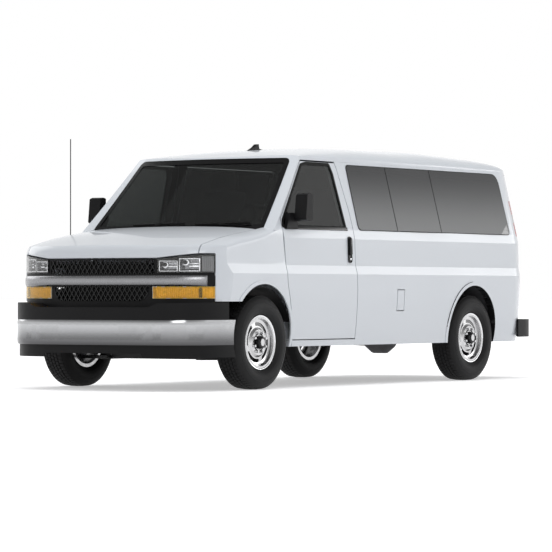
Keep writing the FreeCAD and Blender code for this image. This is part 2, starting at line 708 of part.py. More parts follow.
for x in (-HOOD_HINGE_X, HOOD_HINGE_X):
    for side in (-1, 1):
        inner = x + side * 21 - 9
        hood_arms.append(box(inner, inner + 18, HOOD_AXIS_Y, 150, COWL_Z - 24, COWL_Z))
        hood_arms.append(Part.makeCylinder(HINGE_BARREL, 18, V(inner, HOOD_AXIS_Y, HOOD_AXIS_Z), V(1, 0, 0)))
    hood_arms.append(Part.makeCylinder(HINGE_PIN, 60, V(x - 30, HOOD_AXIS_Y, HOOD_AXIS_Z), V(1, 0, 0)))
bulkhead_parts = [cowl_beam, firewall] + pillars.Solids + posts + [mirrored(s) for s in posts] + hood_arms
bulkhead = fuse(bulkhead_parts).cut(wheelhouses)
save("bulkhead", bulkhead)
save("roof", roof.cut(screen_prism))

# Hood and fenders

hood_front = [
    (-HOOD_HALF - 100, 1500), (-HOOD_HALF - 100, HOOD_CORNER_Z), (-HOOD_HALF, HOOD_CORNER_Z),
    (-GRILLE_HALF, HOOD_FRONT_Z), (GRILLE_HALF, HOOD_FRONT_Z), (HOOD_HALF, HOOD_CORNER_Z),
    (HOOD_HALF + 100, HOOD_CORNER_Z), (HOOD_HALF + 100, 1500),
]
above_face = front_prism(hood_front, -1000, 600)
hood_skin = NOSE.cut(moved(NOSE, 0, HOOD_THICK, -HOOD_THICK))
edge = HOOD_HALF - SHUT_GAP / 2
hood = hood_skin.common(box(-edge, edge, -1000, HOOD_REAR, 900, 1500)).common(above_face)
hood_leaf = []
for x in (-HOOD_HINGE_X, HOOD_HINGE_X):
    eye = Part.makeCylinder(HINGE_BARREL, 22, V(x - 11, HOOD_AXIS_Y, HOOD_AXIS_Z), V(1, 0, 0))
    bore = Part.makeCylinder(HINGE_PIN + RUNNING_GAP, 30, V(x - 15, HOOD_AXIS_Y, HOOD_AXIS_Z), V(1, 0, 0))
    web = box(x - 11, x + 11, HOOD_AXIS_Y - 30, HOOD_AXIS_Y, HOOD_AXIS_Z, HOOD_AXIS_Z + 60)
    hood_leaf.append(web.common(moved(NOSE, 0, HOOD_THICK - 1, -HOOD_THICK + 1)).fuse(eye).cut(bore))
save("hood", fuse([hood] + hood_leaf))

fender_skin = NOSE.cut(moved(NOSE, -PANEL, PANEL, -PANEL))
fender_keep = box(HOOD_HALF + SHUT_GAP / 2, 1100, FENDER_FRONT, 560, SILL_Z, 1500)
fender_keep = fender_keep.fuse(above_face.common(box(HOOD_HALF + SHUT_GAP / 2, 1100, -1000, 0, 900, 1500)))
below_pad = box(800, 1100, -1000, FRONT_ARCH[0], 0, PAD_HIGH_Z + 14)
fender = fender_skin.common(fender_keep).cut(below_pad).cut(front_opening)
fender = fender.cut(arch_cut(FRONT_ARCH, 600, 1100))
fender = fender.cut(box(600, 1100, DOOR_LINE[0][0] - SHUT_GAP / 2, 700, 0, DOOR_LINE[1][1]))
front_lip = arch_lip(FRONT_ARCH, NOSE).cut(below_pad).cut(front_opening)
behind_screen = screen_prism.cut(ahead_of_screen(0))
fender = fuse([fender, front_lip]).cut(pillars).cut(behind_screen)
save("fenders", both(fender))
cowl_start = HOOD_REAR + 8
cowl_outline = [(cowl_start, COWL_Z - 16), (cowl_start, COWL_Z + 2), (170, 1291), (170, 1277), (140, COWL_Z)]
cowl = side_prism(cowl_outline, -838, 838).cut(bulkhead).common(ahead_of_screen(GLASS_SET))
wipers = []
for x, reach in ((-560, 620), (160, 560)):
    pivot = V(x, 146, COWL_Z + 26)
    tip_x = x + reach
    tip = V(tip_x, screen_station(tip_x, 1342) - 9, 1342)
    wipers.append(rod(6, pivot, tip))
save("cowl", fuse([cowl] + [wiper.cut(bulkhead) for wiper in wipers]))

# Grille, lamps and silver bar


def face_slab(front, back, z0, z1):
    """Layer of the front face between two depths behind its plan curve."""
    return plan_solid(NOSE_PLAN, z0, z1, front).cut(plan_solid(NOSE_PLAN, z0 - 1, z1 + 1, back))


def slats(outline):
    """Level bars across an outline seen from the front."""
    xs = [x for x, _ in outline]
    zs = [z for _, z in outline]
    count = int((max(zs) - min(zs)) / MESH_RISE)
    step = (max(zs) - min(zs)) / count
    levels = [min(zs) + step * (index + 0.5) - MESH_BAR / 2 for index in range(count)]
    return [box(min(xs) - 20, max(xs) + 20, -950, -770, z, z + MESH_BAR) for z in levels]


def grown_outline(outline, grow):
    """Outline seen from the front, made a little wider about the vehicle's middle."""
    half = max(x for x, _ in outline)
    return [(x * (1 + grow / half), z) for x, z in outline]


upper_opening = [(-518, 932), (518, 932), (512, 1044), (-512, 1044)]
lower_opening = [
    (-470, 828), (-462, 770), (-430, 730), (-380, 716), (380, 716), (430, 730), (462, 770), (470, 828),
]
lamp_outline = [(GRILLE_HALF + 8, LAMP_LOW_Z), (1050, LAMP_LOW_Z), (1050, 1090), (HOOD_HALF, 1087)]
lamp_outline.append((GRILLE_HALF + 8, HOOD_FRONT_Z - 10))
turn_high_z = BAR_LOW_Z - 4
turn_outline = [(TURN_INNER, TURN_LOW_Z), (1050, TURN_LOW_Z), (1050, turn_high_z), (TURN_INNER, turn_high_z)]
behind_front = box(-1100, 1100, -1000, FENDER_FRONT - 3, 0, 1500)
panel = face_slab(12, 38, FACE_LOW_Z - 45, 1056).common(behind_front)
panel = panel.fuse(face_slab(2, 12, BAR_LOW_Z, BAR_HIGH_Z).common(behind_front))
for outline in (upper_opening, lower_opening):
    panel = panel.cut(front_prism(outline, -1000, -500))
for outline in (lamp_outline, turn_outline):
    hole = front_prism(outline, -1000, -500)
    panel = panel.cut(hole).cut(mirrored(hole))
mesh = face_slab(18, 30, FACE_LOW_Z, 1056)
grille_parts = [panel]
for outline in (upper_opening, lower_opening):
    reach = front_prism(grown_outline(outline, 6), -1000, -700)
    grille_parts += [mesh.common(bar).common(reach) for bar in slats(outline)]
save("grille", fuse(grille_parts))
lamp = face_slab(2, 90, LAMP_LOW_Z, 1097).common(front_prism(lamp_outline, -1000, -500)).common(behind_front)
support_y = (-700, -660)
strut_reach = plan_solid(NOSE_PLAN, 850, 910, 38)
support_parts = [box(-480, 480, *support_y, 520, 560)]
tie = box(0, 1050, *support_y, 985, 1020).common(moved(NOSE, -PANEL, PANEL, -PANEL)).cut(lamp)
for side in (-1, 1):
    support_parts.append(box(side * 460 - 20, side * 460 + 20, *support_y, 520, 1020))
    support_parts.append(tie if side > 0 else mirrored(tie))
    for x in (490, 815):
        strut = box(x - 15, x + 15, -900, support_y[1], 860, 900).common(strut_reach)
        support_parts.append(strut if side > 0 else mirrored(strut))
support_parts.append(box(-840, 840, *support_y, 860, 900).common(strut_reach))
radiator = box(-400, 400, -755, support_y[0], 540, 1010)
save("front_support", fuse(support_parts + [radiator]))
bar_steps = ((BAR_LOW_Z, 0), (850, -10), (878, -15), (906, -10), (BAR_HIGH_Z, 0))
bar = Part.makeLoft([plan_wire(NOSE_PLAN, z, shift, 560) for z, shift in bar_steps], True, False)
bar = bar.cut(plan_solid(NOSE_PLAN, 0, 1500, 2))
bar = bar.common(box(-BAR_HALF, BAR_HALF, -1000, FENDER_FRONT - 3, 0, 1500))
save("grille_bar", bar)
save("headlamps", both(lamp))
turn = face_slab(2, 60, TURN_LOW_Z, BAR_LOW_Z).common(front_prism(turn_outline, -1000, -500))
turn = turn.common(behind_front)
save("turn_lamps", both(turn))

# Bumpers


def inner_plan(plan, wall):
    """Plan curve moved inward by a wall."""
    half = plan[-1][0]
    sign = 1 if plan[0][1] < 0 else -1
    return [(x * (1 - wall / half), y + sign * wall) for x, y in plan]


def bumper_shell(plan, steps, back, wall):
    """Hollow bumper through heights, each with its own setback."""
    outer = Part.makeLoft([plan_wire(plan, z, shift, back) for z, shift in steps], True, False)
    return outer.cut(plan_solid(inner_plan(plan, wall), steps[0][0] - 5, steps[-1][0] + 5, 0, back))


clear_arch = [arch_cut(FRONT_ARCH, 560, 1100), mirrored(arch_cut(FRONT_ARCH, 560, 1100))]
chrome_steps = ((CHROME_LOW_Z, 12), (382, 3), (420, 0), (510, 0), (552, 2), (CHROME_HIGH_Z, 8))
bumper = bumper_shell(BUMPER_PLAN, chrome_steps, -300, BUMPER_WALL)
plates = [box(x - 35, x + 35, -1022, FRAME_FRONT, 400, 520) for x in (-RAIL_X, RAIL_X)]
plates = [plate.common(plan_solid(BUMPER_PLAN, 300, 600, 6)) for plate in plates]
for cutter in clear_arch:
    bumper = bumper.cut(cutter)
save("front_bumper", fuse([bumper] + plates))
pad_top = [
    (-1100, CHROME_HIGH_Z), (1100, CHROME_HIGH_Z), (1100, PAD_HIGH_Z + 10), (640, PAD_HIGH_Z), (560, 668),
    (-560, 668), (-640, PAD_HIGH_Z), (-1100, PAD_HIGH_Z + 10),
]
pad_form = plan_solid(BUMPER_PLAN, CHROME_HIGH_Z, 720, 6, -300).common(front_prism(pad_top, -1100, -300))
pad = pad_form.cut(moved(pad_form, 0, BUMPER_WALL, -BUMPER_WALL).common(box(-985, 985, -1100, -300, 0, 800)))
pad = pad.cut(plan_solid(NOSE_PLAN, CHROME_HIGH_Z - 1, 800, 12))
dam_form = plan_solid(BUMPER_PLAN, DAM_LOW_Z, CHROME_LOW_Z, 34, -300)
dam_hollow = plan_solid(inner_plan(BUMPER_PLAN, BUMPER_WALL), DAM_LOW_Z - 1, CHROME_LOW_Z + 1, 34, -300)
dam = dam_form.cut(dam_hollow)
dam = dam.cut(front_prism([(-520, 200), (-480, 300), (480, 300), (520, 200)], -1100, -300))
trim = pad.fuse(dam)
for cutter in clear_arch:
    trim = trim.cut(cutter)
save("bumper_trim", trim)
rear_plan = ((0, 4652), (500, 4647), (800, 4618), (930, 4545), (980, 4430), (990, 4300), (991, 4262))
rear_steps = ((REAR_BUMPER_LOW_Z, 0), (REAR_BUMPER_HIGH_Z, 0))
rear_outer = plan_solid(rear_plan, REAR_BUMPER_LOW_Z, REAR_BUMPER_HIGH_Z, 0, 4240)
rear_inner = plan_solid(inner_plan(rear_plan, BUMPER_WALL), 300, REAR_BUMPER_HIGH_Z - BUMPER_WALL, 0, 4200)
rear_bumper = rear_outer.cut(rear_inner).cut(box(-900, 900, 4000, REAR_FACE + 8, 300, 700)).cut(OUTER)
plates = [box(x - 35, x + 35, FRAME_REAR, 4640, 430, 520) for x in (-RAIL_X, RAIL_X)]
save("rear_bumper", fuse([rear_bumper] + plates))

# Chassis frame

rail_outline = [
    (FRAME_FRONT, 400), (-620, 400), (-430, 440), (430, 440), (640, 330), (2650, 330), (2950, 500),
    (3850, 500), (4120, 430), (FRAME_REAR, 430), (FRAME_REAR, 540), (4200, 540), (3880, 640), (2920, 640),
    (2620, 470),
    (660, 470), (440, 580), (-420, 580), (-620, 520), (FRAME_FRONT, 520),
]
rail = side_prism(rail_outline, RAIL_X - RAIL_WIDE / 2, RAIL_X + RAIL_WIDE / 2)
bay = RAIL_X - RAIL_WIDE / 2 + 2
frame_parts = [rail, mirrored(rail)]
for y0, y1, z0, z1 in (
    (-930, -860, 410, 500), (700, 760, 330, 385), (1300, 1390, 340, 400), (2200, 2270, 340, 400),
    (2880, 2950, 560, 630), (3640, 3680, 560, 630), (FRAME_REAR - 16, FRAME_REAR, 440, 530),
):
    frame_parts.append(box(-bay, bay, y0, y1, z0, z1))
frame_parts.append(box(-450, 450, -110, 110, 240, 330))
for side in (-1, 1):
    frame_parts.append(box(side * 415 - 35, side * 415 + 35, -110, 110, 320, 450))
floor_under = FLOOR_TOP_Z - FLOOR_THICK
for side in (-1, 1):
    frame_parts.append(box(side * 315 - 65, side * 315 + 65, -40, 40, 500, 560))
for y, top in ((1150, 470), (1650, 470), (2420, 470), (3400, 640), (4250, 540)):
    for side in (-1, 1):
        frame_parts.append(Part.makeCylinder(28, floor_under - top + 10, V(side * RAIL_X, y, top - 10)))
save("frame", fuse(frame_parts))

# Floor with the rear wheel housings

cab = INNER.common(box(-FLOOR_HALF, FLOOR_HALF, 215, REAR_FACE - REAR_WALL - 6, floor_under, FLOOR_TOP_Z))
for side in (-1, 1):
    corner = box(COWL_SIDE_X - 25, 1100, 0, POST_FRONT + POST_DEEP, 500, 900)
    cab = cab.cut(corner if side > 0 else mirrored(corner))
housing_out = arch_cut(REAR_ARCH, HOUSING_X, FLOOR_HALF, 20)
housing_in = arch_cut(REAR_ARCH, HOUSING_X + 12, 1100, 8)
housing = housing_out.cut(housing_in).common(box(0, 1100, 2900, 4000, 500, 900)).common(INNER)
cab = cab.cut(wheelhouses)
door_edge = REAR_DOOR_HALF - SHUT_GAP / 2
edge_line = Part.makeLine(V(door_edge, WHEELBASE, FLOOR_TOP_Z), V(door_edge, REAR_FACE, FLOOR_TOP_Z))
door_reach = math.hypot(REAR_AXIS_X - door_edge, REAR_AXIS_Y - edge_line.common(INNER).BoundBox.YMax)
door_room = Part.makeCylinder(door_reach + SHUT_GAP, 200, V(REAR_AXIS_X, REAR_AXIS_Y, floor_under - 50))
cab = cab.cut(door_room).cut(mirrored(door_room))
floor_parts = [cab.cut(housing_out).cut(mirrored(housing_out)), housing, mirrored(housing)]
save("floor", fuse(floor_parts))
liner = arch_cut((0, TYRE_RADIUS, LINER_RADIUS + 5), HOUSE_INNER - 6, LINER_OUTER)
liner = liner.cut(arch_cut((0, TYRE_RADIUS, LINER_RADIUS), HOUSE_INNER, LINER_OUTER + 20))
liner = liner.common(box(0, 1100, -470, 470, 545, 900)).cut(below_pad)
save("wheel_liners", both(liner))

# Power and drive

engine = box(-250, 250, -380, 160, 440, 960)
engine = engine.makeFillet(30, engine.Edges)
pan = box(-120, 120, -330, 130, 345, 445)
gearbox = Part.makeCone(140, 85, 1070, V(0, 160, 505), V(0, 1, 0))
save("powertrain", fuse([engine, pan, gearbox]))
axle_z = TYRE_RADIUS
half_axle = [(60, 150), (125, 105), (150, 44), (HUB_INNER, 44), (HUB_INNER, SPINDLE_RADIUS)]
half_axle += [(STUB_END, SPINDLE_RADIUS), (STUB_END, 0)]
axle = revolved([(-along, radius) for along, radius in reversed(half_axle)] + half_axle, 0, WHEELBASE, axle_z)
joint = rod(38, V(0, 1230, 505), V(0, 1262, 505))
shaft = rod(36, V(0, 1255, 505), V(0, WHEELBASE - 120, axle_z + 20))
saddles = [box(x - 35, x + 35, WHEELBASE - 45, WHEELBASE + 45, axle_z, 428) for x in (-550, 550)]
save("rear_axle", fuse([axle] + saddles))
save("driveshaft", fuse([joint, shaft]).cut(axle))
spring_parts = []
leaf_outline = [
    (2790, 405), (WHEELBASE - 60, 428), (WHEELBASE + 60, 428), (4090, 405), (4090, 427),
    (WHEELBASE + 60, 470), (WHEELBASE - 60, 470), (2790, 427),
]
leaf = side_prism(leaf_outline, 520, 580)
rail_side = RAIL_X + RAIL_WIDE / 2
front_eye = rod(28, V(rail_side, 2790, 416), V(584, 2790, 416))
rear_eye = rod(28, V(rail_side, 4090, 416), V(584, 4090, 416))
rear_eye = rear_eye.fuse(box(rail_side, rail_side + 8, 4060, 4120, 400, 520))


def wishbone(half, z0, z1):
    """Suspension arm from the rail's side to the swivel axis, with a round end."""
    outline = [(rail_side, half), (500, half), (650, 42), (720, 16), (KINGPIN_X, 16)]
    outline += [(x, -y) for x, y in reversed(outline)]
    return plan_prism(outline, z0, z1).fuse(Part.makeCylinder(16, z1 - z0, V(KINGPIN_X, 0, z0)))


lower_arm = wishbone(170, 235, 263).fuse(rod(12, V(KINGPIN_X, 0, 262), V(KINGPIN_X, 0, 300)))
upper_arm = wishbone(120, 507, 530).fuse(rod(12, V(KINGPIN_X, 0, 508), V(KINGPIN_X, 0, 470)))
link = rod(14, V(-350, 190, 300), V(350, 190, 300))
idler = box(330, 380, 165, 215, 280, 450)
for shape in (fuse([leaf, front_eye, rear_eye]), lower_arm, upper_arm):
    spring_parts += [shape, mirrored(shape)]
spring_parts.append(fuse([link, idler, mirrored(idler)]))
save("suspension", Part.makeCompound(spring_parts))


def pipe(points, radius):
    """Bent pipe through points, with a ball at each bend."""
    parts = [rod(radius, a, b) for a, b in zip(points[:-1], points[1:])]
    parts += [Part.makeSphere(radius, p) for p in points[1:-1]]
    return fuse(parts)


muffler = rod(95, V(-640, 1750, 500), V(-640, 2350, 500))
hangers = [box(-655, -625, y, y + 20, 580, floor_under) for y in (1850, 2230)]
front_points = [V(-185, 160, 520), V(-185, 320, 520), V(-300, 640, 560)]
front_points += [V(-640, 1400, 500), V(-640, 1760, 500)]
front_pipe = pipe(front_points, 30)
tail_points = [V(-640, 2340, 500), V(-640, 2760, 540), V(-660, 2960, 580), V(-660, 3880, 580)]
tail_points += [V(-690, 4090, 318), V(-760, 4470, 300)]
tail_pipe = pipe(tail_points, 28)
save("exhaust", fuse([muffler, front_pipe, tail_pipe] + hangers))
tank = box(470, 830, 1500, 2600, 370, floor_under)
save("fuel_tank", tank.makeFillet(40, tank.Edges))

# Wheels


def tyre_shape(x, y, z, radius):
    """Tyre with rounded shoulders and bulged walls."""
    half = TYRE_WIDTH / 2
    right = [
        (FLANGE_X - 8, BEAD_RADIUS), (FLANGE_X - 8, FLANGE_RADIUS + 2), (half - 7, BEAD_RADIUS + 55),
        (half, 292),
        (half - 5, 325), (half - 16, 355), (half - 33, radius - 6), (half - 52, radius),
    ]
    left = [(-along, r) for along, r in reversed(right)]
    return revolved(right + left, x, y, z)


def rim_shape(x, y, z):
    """Steel wheel: barrel, dished face with four long slots and eight lugs, hub and cap; faces +X."""
    seat_r = BEAD_RADIUS - RUNNING_GAP
    barrel = revolved([
        (-FLANGE_X, FLANGE_RADIUS), (-FLANGE_X, BEAD_RADIUS - 9), (-60, 188), (60, 188),
        (FLANGE_X, BEAD_RADIUS - 9),
        (FLANGE_X, FLANGE_RADIUS), (FLANGE_X - 7, FLANGE_RADIUS), (FLANGE_X - 7, seat_r),
        (62, seat_r), (52, 196), (-52, 196), (-62, seat_r), (7 - FLANGE_X, seat_r),
        (7 - FLANGE_X, FLANGE_RADIUS),
    ], x, y, z)
    bore = SPINDLE_RADIUS + RUNNING_GAP
    disc = revolved([
        (20, bore), (20, 90), (48, 118), (44, 160), (50, 192), (62, 192), (56, 162), (60, 122), (76, 104),
        (78, 60), (70, 60), (70, bore),
    ], x, y, z)
    cap = revolved([(70, 52), (112, 44), (116, 36), (116, 0), (104, 0), (104, 34), (70, 40)], x, y, z)
    for index in range(4):
        angle = 65 + 90 * index
        slot = plan_slot(x, y, z, 148, 30, 15)
        slot.rotate(V(x, y, z), V(1, 0, 0), angle)
        disc = disc.cut(slot)
    lugs = []
    for index in range(8):
        angle = math.radians(20 + 45 * index)
        foot = V(x + 70, y + 82 * math.cos(angle), z + 82 * math.sin(angle))
        lugs.append(Part.makeCylinder(11, 22, foot, V(1, 0, 0)))
    return fuse([barrel, disc, cap] + lugs)


def plan_slot(x, y, z, radius, half_angle, half_wide):
    """Bean shaped cutter along X that follows a circle about the wheel's axis."""
    outer = Part.makeCylinder(radius + half_wide, 60, V(x + 20, y, z), V(1, 0, 0))
    ring = outer.cut(Part.makeCylinder(radius - half_wide, 60, V(x + 20, y, z), V(1, 0, 0)))
    reach = 400
    a = math.radians(half_angle)
    wedge = face_of([
        V(x + 20, y, z), V(x + 20, y + reach * math.cos(a), z - reach * math.sin(a)),
        V(x + 20, y + reach * math.cos(a), z + reach * math.sin(a)),
    ]).extrude(V(60, 0, 0))
    bean = ring.common(wedge)
    for sign in (-1, 1):
        end = V(x + 20, y + radius * math.cos(a), z + sign * radius * math.sin(a))
        bean = bean.fuse(Part.makeCylinder(half_wide, 60, end, V(1, 0, 0)))
    return bean


for end, track, y in (("front", FRONT_TRACK, 0), ("rear", REAR_TRACK, WHEELBASE)):
    x = track / 2
    tyre = tyre_shape(x, y, TYRE_RADIUS, TYRE_RADIUS)
    rim = rim_shape(x, y, TYRE_RADIUS)
    for side, place in (("left", lambda s: s), ("right", mirrored)):
        save("tyre_" + end + "_" + side, place(tyre))
        save("rim_" + end + "_" + side, place(rim))

wheel_x = FRONT_TRACK / 2
carrier = box(KINGPIN_X - 26, KINGPIN_X + 22, -32, 32, 268, 502)
for z0, z1 in ((260, 301), (469, 510)):
    carrier = carrier.cut(Part.makeCylinder(12 + RUNNING_GAP, z1 - z0, V(KINGPIN_X, 0, z0)))
spindle = rod(SPINDLE_RADIUS, V(KINGPIN_X, 0, TYRE_RADIUS), V(wheel_x + 68, 0, TYRE_RADIUS))
backing = rod(150, V(KINGPIN_X + 22, 0, TYRE_RADIUS), V(KINGPIN_X + 32, 0, TYRE_RADIUS))
steer_arm = box(KINGPIN_X - 26, KINGPIN_X, 30, 130, 330, 350)
knuckle = fuse([carrier, spindle, backing, steer_arm])
save("knuckle_left", knuckle)
save("knuckle_right", mirrored(knuckle))
spare_y = 4060
spare = tyre_shape(0, spare_y, 520, 368)
plate = revolved([(20, 20), (20, 205), (32, 205), (32, 20)], 0, spare_y, 520)
spare = fuse([spare, plate, revolved([(20, 10), (20, 22), (32, 22), (32, 10)], 0, spare_y, 520)])
spare.rotate(V(0, spare_y, 520), V(0, 1, 0), -90)
save("spare_wheel", fuse([spare, rod(12, V(0, spare_y, 530), V(0, spare_y, floor_under))]))

# Cabin furniture

dash_outline = [
    (330, 900), (330, 1225), (240, 1262), (240, 1296), (480, 1312), (640, 1270), (650, 1120), (560, 900),
]
dash = side_prism(dash_outline, -COWL_SIDE_X + 28, COWL_SIDE_X - 28)
dash = fuse([dash, box(-700, 700, 215, 335, 1000, 1060)])
column_dir = V(0, 0.93, 0.37)
wheel_centre = V(STEER_X, 840, 1350)
column = rod(26, wheel_centre - column_dir * 330, wheel_centre - column_dir * 42)
pin = rod(9, wheel_centre - column_dir * 60, wheel_centre + column_dir * 4)
save("dashboard", Part.makeCompound([dash, fuse([column, pin]).cut(dash)]))
ring = Part.makeTorus(185, 14, wheel_centre, column_dir)
hub = rod(48, wheel_centre - column_dir * 34, wheel_centre + column_dir * 14)
spokes = []
for angle in (-20, 200, 90):
    turn = math.radians(angle + 180)
    across = V(1, 0, 0)
    up = column_dir.cross(across)
    tip = wheel_centre + across * (178 * math.cos(turn)) + up * (178 * math.sin(turn))
    spokes.append(rod(11, wheel_centre - column_dir * 8, tip))
bore = rod(9 + RUNNING_GAP, wheel_centre - column_dir * 40, wheel_centre + column_dir * 5)
save("steering_wheel", fuse([ring, hub] + spokes).cut(bore))


def seat(x0, x1, y, base):
    """Seat for one or more people: cushion, raked back, head pads and two legs, each seated on the next."""
    cushion_z = base + CUSHION_THICK
    back_z = base + 700
    cushion = box(x0, x1, y, y + 470, base, cushion_z)
    cushion = cushion.makeFillet(28, cushion.Edges)
    back_outline = [(y + 392, cushion_z), (y + 512, cushion_z), (y + 640, back_z), (y + 560, back_z)]
    back = side_prism(back_outline, x0 + 8, x1 - 8)
    back = back.makeFillet(24, back.Edges)
    parts = [cushion, back]
    places = max(1, round((x1 - x0) / 480))
    for index in range(places):
        middle = x0 + (x1 - x0) * (index + 0.5) / places
        pad = box(middle - 125, middle + 125, y + 560, y + 640, back_z + 15, back_z + 180)
        pad = pad.makeFillet(26, pad.Edges)
        parts.append(pad.fuse(box(middle - 40, middle + 40, y + 588, y + 608, back_z, back_z + 30)))
    for x in (x0 + 60, x1 - 60 - (x1 - x0) / 8):
        parts.append(box(x, x + 40, y + 60, y + 380, FLOOR_TOP_Z, base))
    return parts


front_seats = [part for side in (-1, 1) for part in seat(side * 480 - 250, side * 480 + 250, 1010, 960)]
save("front_seats", Part.makeCompound(front_seats))
benches = seat(-560, 820, 2010, 980) + seat(-560, 820, 2790, 980) + seat(-700, 700, 3570, 980)
save("rear_benches", Part.makeCompound(benches))

# Aerials

fin_outline = [(1248, 0), (1330, 34), (1372, 62), (1400, 66), (1412, 26), (1500, 14), (1504, 0)]
fin = side_prism([(y, 2000 + z) for y, z in fin_outline] + [(1504, 1990), (1248, 1990)], -16, 16)
fin = fin.cut(OUTER)
mast_foot = V(-MAST_X, -140, 1215)
mast = rod(4, mast_foot, V(-MAST_X, -140, 2070)).fuse(rod(13, mast_foot, V(-MAST_X, -140, 1262)))
save("aerials", Part.makeCompound(fin.Solids + mast.cut(NOSE).Solids))

os.makedirs("parts", exist_ok=True)
for name, shape in NODES.items():
    shape.exportStep("parts/" + name + ".step")
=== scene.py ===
"""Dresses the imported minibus: finishes for its CAD pieces, and the fine parts modelled on them."""

import logging
import math
from collections.abc import Callable, Iterator, Sequence
from contextlib import contextmanager
from dataclasses import dataclass
from enum import Enum

import bpy
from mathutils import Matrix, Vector

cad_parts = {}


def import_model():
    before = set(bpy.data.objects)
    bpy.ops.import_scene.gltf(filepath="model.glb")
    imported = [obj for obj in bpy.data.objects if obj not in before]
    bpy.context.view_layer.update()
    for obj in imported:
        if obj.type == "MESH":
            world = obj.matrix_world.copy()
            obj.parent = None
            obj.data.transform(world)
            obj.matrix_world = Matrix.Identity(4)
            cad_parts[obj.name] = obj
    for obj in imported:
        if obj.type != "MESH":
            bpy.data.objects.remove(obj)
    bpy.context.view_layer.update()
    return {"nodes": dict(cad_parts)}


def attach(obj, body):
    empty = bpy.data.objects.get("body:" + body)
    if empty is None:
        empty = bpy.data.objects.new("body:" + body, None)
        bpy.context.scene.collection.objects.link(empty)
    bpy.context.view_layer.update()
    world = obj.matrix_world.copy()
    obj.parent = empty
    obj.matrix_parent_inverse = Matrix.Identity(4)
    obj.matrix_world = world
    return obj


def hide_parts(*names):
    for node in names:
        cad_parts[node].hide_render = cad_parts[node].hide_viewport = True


LOG = logging.getLogger("minibus")

Colour = tuple[float, float, float]
Pair = tuple[float, float]

# The CAD pieces lie round the middle of the vehicle.
# Stations below are measured rearward from the front axle.
AXLE_Y = -1.806
WHEELBASE = 3.429
SIDES = (1, -1)

X_AXIS = Vector((1, 0, 0))
Y_AXIS = Vector((0, 1, 0))
Z_AXIS = Vector((0, 0, 1))

# Halvings that find a height on the curved part of the skin.
SEARCH_STEPS = 24

COAT_ROUGHNESS = 0.04
TONE_DETAIL = 5.0
GLOSS_DETAIL = 3.0
GLOSS_FINENESS = 9
GLOSS_WINDOW = (0.3, 0.7)
BRUSH_STRETCH = (0.04, 1.0, 1.0)
WAVE_DISTORTION = 0.6


class Slot(Enum):
    """Material slots."""

    PAINT = "paint"
    CHASSIS = "chassis"
    CHROME = "chrome"
    STEEL = "steel"
    WHEEL = "wheel_steel"
    TRIM = "black_plastic"
    CABIN = "cabin_plastic"
    SILVER = "silver_plastic"
    LAMP_CLEAR = "lamp_clear"
    LAMP_AMBER = "lamp_amber"
    LAMP_RED = "lamp_red"
    TINTED = "tinted_glass"
    TYRE = "tyre"
    FABRIC = "seat_fabric"


class Grain(Enum):
    """Kinds of fine surface."""

    FINE = "fine"
    PEBBLE = "pebble"
    BRUSHED = "brushed"
    CAST = "cast"
    WEAVE = "weave"
    PILE = "pile"
    FLUTED = "fluted"


